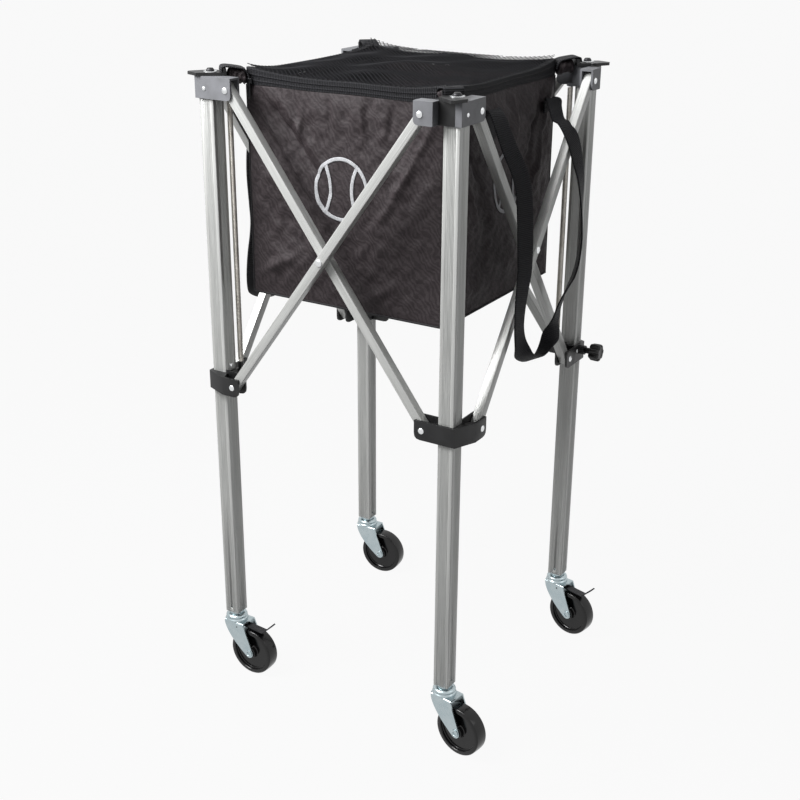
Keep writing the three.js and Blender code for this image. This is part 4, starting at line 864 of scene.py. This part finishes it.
def corner_lift(x, y):
    """How far the loops draw the rim up: the fourth power of |x| times |y|, as shares of the bag's half side,
    more on the left side."""
    drawn_up = loop_lift + left_lift * np.clip(-x / bag_half, 0, 1)
    return drawn_up * np.clip(np.abs(x * y) / bag_half ** 2, 0, 1) ** 4


def webbed(grid, across, run):
    """A grid with its grain: millimetres across the webbing and along its run."""
    steps = np.linalg.norm(np.diff(run, axis=0, prepend=run[:1]), axis=1).cumsum()
    return grid, np.stack(np.broadcast_arrays(across, steps[:, None]), -1)


def banded(run, ways):
    """Carries the band's section along a run of plan points, out along each point's way. Returns the grid
    and its grain."""
    section = band_section()
    out, up = section[:, 0] - bag_half, section[:, 1]
    wave = rim_wave * np.sin(run.sum(1) / 23.0)
    height = up[None, :] + wave[:, None] + corner_lift(*run.T)[:, None] * np.clip((up - band_low) / lift_over, 0, 1)
    grid = np.stack((run[:, 0, None] + ways[:, 0, None] * out, run[:, 1, None] + ways[:, 1, None] * out, height), -1)
    return webbed(grid, np.arange(len(up)) * section_step, run)


straight = np.linspace(-bag_half + band_corner, bag_half - band_corner, 120)
run = np.column_stack((np.full(len(straight), bag_half), straight))
run_grid, run_grain = banded(run, np.tile((1.0, 0.0), (len(run), 1)))
bend = np.linspace(-math.pi / 2, 0, 14)
ways = np.column_stack((np.cos(bend), np.sin(bend)))
turn_grid, turn_grain = banded(ways * band_corner + (bag_half - band_corner, -bag_half + band_corner), ways)
for quarter, (side, leg) in enumerate(zip(sides, legs)):
    made = piece("band_run_" + side, [closed(run_grid, quarter)], webbing, "leg_" + wall_rides[side][0],
                 ["bag_band"], grain=run_grain, crease=60)
    crumpled(made)
    piece("band_corner_" + leg, [closed(turn_grid, quarter)], webbing, "leg_" + leg, grain=turn_grain,
          crease=60)


# A loop of webbing at each corner of the band passes over the hook's lip and carries the bag. Under it the
# corner's spare cloth is bunched: a lumpy bundle that narrows towards the hook.
loop_width, loop_thickness = 26.0, 2.2
loop_stops = ((215.0, 914.0), (217.5, 921.0), (222.0, 925.4), (232.0, 927.6), (240.5, 928.8), (246.0, 929.2),
              (250.0, 928.2), (251.0, 925.4), (251.2, 922.9))
gather_start, gather_end, gather_low, gather_high = 216.5, 244.0, 903.0, 927.5
gather_half, gather_narrows, gather_thins, gather_lumps, gather_flat = 12.0, 3.0, 2.5, 0.16, 0.86


def smoothed(stops, between):
    """A curve through every stop: on each stretch a cubic whose slope at a stop points from the stop before
    to the stop after."""
    stops = np.asarray(stops, float)
    slopes = np.gradient(stops, axis=0)
    t = np.linspace(0, 1, between, endpoint=False)[:, None]
    rise = 3 * t ** 2 - 2 * t ** 3
    runs = [stops[k] * (1 - rise) + stops[k + 1] * rise + slopes[k] * (t ** 3 - 2 * t ** 2 + t)
            + slopes[k + 1] * (t ** 3 - t ** 2) for k in range(len(stops) - 1)]
    return np.concatenate(runs + [stops[-1:]])


def flat_strap(path, wide, width, thickness):
    """Carries a flat section with round edges along a path, its width turned to the wide vectors squared
    to the path. Returns the grid and its grain."""
    way = unit(np.gradient(path, axis=0))
    wide = unit(wide - way * np.sum(wide * way, axis=1, keepdims=True))
    thin = np.cross(way, wide)
    bend = np.linspace(-math.pi / 2, math.pi / 2, 5)
    across = np.concatenate((np.linspace(-1, 1, 9)[1:-1] * (width - thickness) / 2,
                             (width - thickness) / 2 + thickness / 2 * np.cos(bend)))
    depth = np.concatenate((np.full(7, -thickness / 2), thickness / 2 * np.sin(bend)))
    across, depth = np.concatenate((across, -across)), np.concatenate((depth, -depth))
    grid = path[:, None] + wide[:, None] * across[None, :, None] + thin[:, None] * depth[None, :, None]
    return webbed(grid, across, path)


def bunched(seed):
    """A bundle of cloth along the corner's diagonal: ellipses that narrow and rise along their run, closed
    at both ends by a root, with seeded lumps."""
    share, angle = np.linspace(0, 1, 24)[:, None], np.linspace(0, 2 * np.pi, 40, endpoint=False)[None, :]
    ends = np.clip(np.minimum(share, 1 - share) * 9, 0.05, 1) ** 0.5
    lumps = 1 + gather_lumps * ripples(angle * 3, share * 9, seed, 7, 2.0, 7.0)
    aside = (gather_half - gather_narrows * share) * ends * lumps * np.cos(angle)
    tall = ((gather_high - gather_low) / 2 - gather_thins * share) * ends * lumps
    reach = gather_start + (gather_end - gather_start) * share + 0 * angle
    rise = (gather_low + gather_high) / 2 + gather_thins * share + tall * np.sin(angle) * gather_flat
    return np.stack((reach + aside, -reach + aside, rise * math.sqrt(2)), -1) / math.sqrt(2)


path = smoothed(loop_stops, 5)
diagonal = np.column_stack((path[:, 0] / math.sqrt(2), -path[:, 0] / math.sqrt(2), path[:, 1]))
grid, grain = flat_strap(diagonal, np.tile((1.0, 1.0, 0.0), (len(path), 1)), loop_width, loop_thickness)
for quarter, leg in enumerate(legs):
    piece("corner_loop_" + leg, [closed(grid, quarter)], webbing, "leg_" + leg, grain=grain, crease=60)
    piece("corner_gather_" + leg, [closed(bunched(71 + quarter), quarter)], polyester, "leg_" + leg,
          crease=180)


# The lid is a knitted nylon net with open diamonds of about 5 mm, drawn up at its corners by the loops.
# Here every thread is a thin flat tube and the diamonds are drawn at 7.4 mm to show. It is cut in three for
# the fold.
net_cell, thread_width, thread_depth, thread_apart, thread_edge, thread_share = 7.4, 1.3, 0.7, 0.25, 0.2, 0.52
lid_reach, lid_crown, lid_back, lid_folds, lid_proud = 154.0, 6.0, 4.5, 1.6, 1.0
lid_strips = ((70.0, lid_reach, "leg_front_right", south), (-70.0, 70.0, "bag", middle.y),
              (-lid_reach, -70.0, "leg_front_left", south))

net_nylon, tree, skin, place = stuff("knitted_nylon_net", "#161618", 0.5, Specular_IOR_Level=0.1)
# Twisted yarn, a little uneven about every 1.4 mm of its length
yarn = node(tree, "ShaderNodeTexNoise", {"Scale": 700.0, "Detail": 2.0}, Vector=place)
patterned(tree, skin, yarn, (0.62, 0.78), ("#141416", "#242427"), (0.3, 0.0002))


def lid_height(x, y):
    """The lid's height: the rim, its lift at the corners, a low crown and folds."""
    u, v = np.clip(x / bag_half, -1, 1), np.clip(y / bag_half, -1, 1)
    crown = lid_crown * (1 - u ** 2) * (1 - v ** 2)
    back = lid_back * np.clip(v, 0, 1) ** 4
    folds = lid_folds * ripples(x, y, 63, 7, 60.0, 140.0) * (1 - u ** 6) * (1 - v ** 6)
    return band_high + lid_proud + corner_lift(x, y) + crown + back + folds


def net_threads(low, high):
    """Both families of slanting threads inside a strip: each starts and ends where it meets the strip's
    edges, is lifted to the lid's height, and is given a flat four-sided section."""
    forms = []
    for slant in (1.0, -1.0):
        starts = np.arange(low - 2 * lid_reach - net_cell, high + 2 * lid_reach + net_cell, net_cell)
        first = np.clip(np.where(slant > 0, low - starts, starts - high) - lid_reach, -lid_reach, lid_reach)
        last = np.clip(np.where(slant > 0, high - starts, starts - low) - lid_reach, -lid_reach, lid_reach)
        kept = last - first > net_cell
        starts, first, last = starts[kept], first[kept], last[kept]
        y = first[:, None] + (last - first)[:, None] * np.linspace(0, 1, 31)
        x = starts[:, None] + slant * (y + lid_reach)
        middles = np.stack((x, y, lid_height(x, y) + slant * thread_depth * thread_apart), -1)
        wide = np.array((1.0, -slant, 0.0)) * thread_width / 2 / math.sqrt(2)
        deep = np.array((0.0, 0.0, thread_depth / 2))
        section = np.stack((wide + deep * thread_edge, deep, -wide + deep * thread_edge, -deep), 0)
        forms += [closed(run[:, None] + section) for run in middles]
    return forms


for number, (low, high, body, anchor) in enumerate(lid_strips):
    net = piece(f"lid_net_{number}", net_threads(low, high), net_nylon, body, ["mesh_lid"], crease=80)
    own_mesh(net)


# The zip's slider is a black die-cast body with a long pull, at the left end of the band's front. It runs
# along that side.
rounded("zip_slider_body", "zip_slider", 0.8, blackened, "zip", 3)


# Two carrying straps of ribbed webbing are sewn to the right and left walls. Each comes out over the
# bars and hangs down in one loop. A stop gives shares of its reach, spread and drop, and its lean.
strap_width, strap_thickness = 25.0, 2.4
strap_seat, strap_spread, strap_top = 162.5, 125.5, 886.5
tilt_most, tilt_start, tilt_rate = 0.5, 0.9, 12
strap_sizes = {"right": (1, 64.5, 342.0, "front_right"), "left": (-1, 69.0, 326.0, "front_left")}
strap_stops = np.array((
    (-0.0335, -0.303, 0.118, 0), (-0.0341, -0.382, 0.069, 0), (0.031, -0.454, 0.025, 3),
    (0.101, -0.496, 0.001, 8), (0.209, -0.526, 0.003, 14), (0.333, -0.55, 0.032, 20),
    (0.473, -0.556, 0.088, 24), (0.597, -0.546, 0.142, 27), (0.705, -0.506, 0.194, 29),
    (0.788, -0.474, 0.247, 30), (0.845, -0.459, 0.308, 30), (0.876, -0.448, 0.401, 30),
    (0.884, -0.422, 0.521, 28), (0.884, -0.414, 0.61, 22), (0.884, -0.45, 0.678, 14),
    (0.899, -0.502, 0.754, 7), (0.922, -0.526, 0.833, 3), (0.946, -0.494, 0.903, 14),
    (0.946, -0.405, 0.952, 56), (0.938, -0.219, 0.987, 82), (0.922, 0, 1, 90), (0.93, 0.173, 0.972, 74),
    (0.938, 0.296, 0.931, 32), (0.946, 0.363, 0.885, 0), (0.953, 0.434, 0.836, -10),
    (0.961, 0.53, 0.799, -14), (0.969, 0.639, 0.766, -20), (0.977, 0.747, 0.732, -27),
    (0.984, 0.825, 0.688, -31), (0.992, 0.863, 0.635, -32), (1, 0.869, 0.569, -32),
    (0.997, 0.853, 0.469, -26), (0.977, 0.84, 0.376, -12), (0.946, 0.825, 0.314, -2),
    (0.891, 0.785, 0.248, 8), (0.853, 0.689, 0.168, 12), (0.783, 0.622, 0.126, 12),
    (0.659, 0.629, 0.098, 11), (0.488, 0.685, 0.088, 10), (0.333, 0.765, 0.06, 8),
    (0.194, 0.869, 0.038, 5), (0.093, 0.952, 0.029, 2), (-0.0217, 0.984, 0.034, 0),
    (-0.0653, 0.996, 0.051, 0), (-0.0676, 1, 0.083, 0),
))

for side, (outward, reach, drop, leg) in strap_sizes.items():
    stops = np.column_stack((outward * (strap_seat + reach * strap_stops[:, 0]), strap_spread * strap_stops[:, 1],
                             strap_top - drop * strap_stops[:, 2], strap_stops[:, 3]))
    run = smoothed(stops, 5)
    lean = np.radians(run[:, 3])
    tilt = tilt_most * np.clip(((strap_top - run[:, 2]) / drop - tilt_start) * tilt_rate, 0, 1)
    grid, grain = flat_strap(run[:, :3], np.column_stack((np.sin(lean), np.cos(lean), tilt)), strap_width,
                             strap_thickness)
    strap = piece("carrying_strap_" + side, [closed(grid)], webbing, "leg_" + leg, ["strap_" + side],
                  grain=grain, crease=60)
    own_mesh(strap)
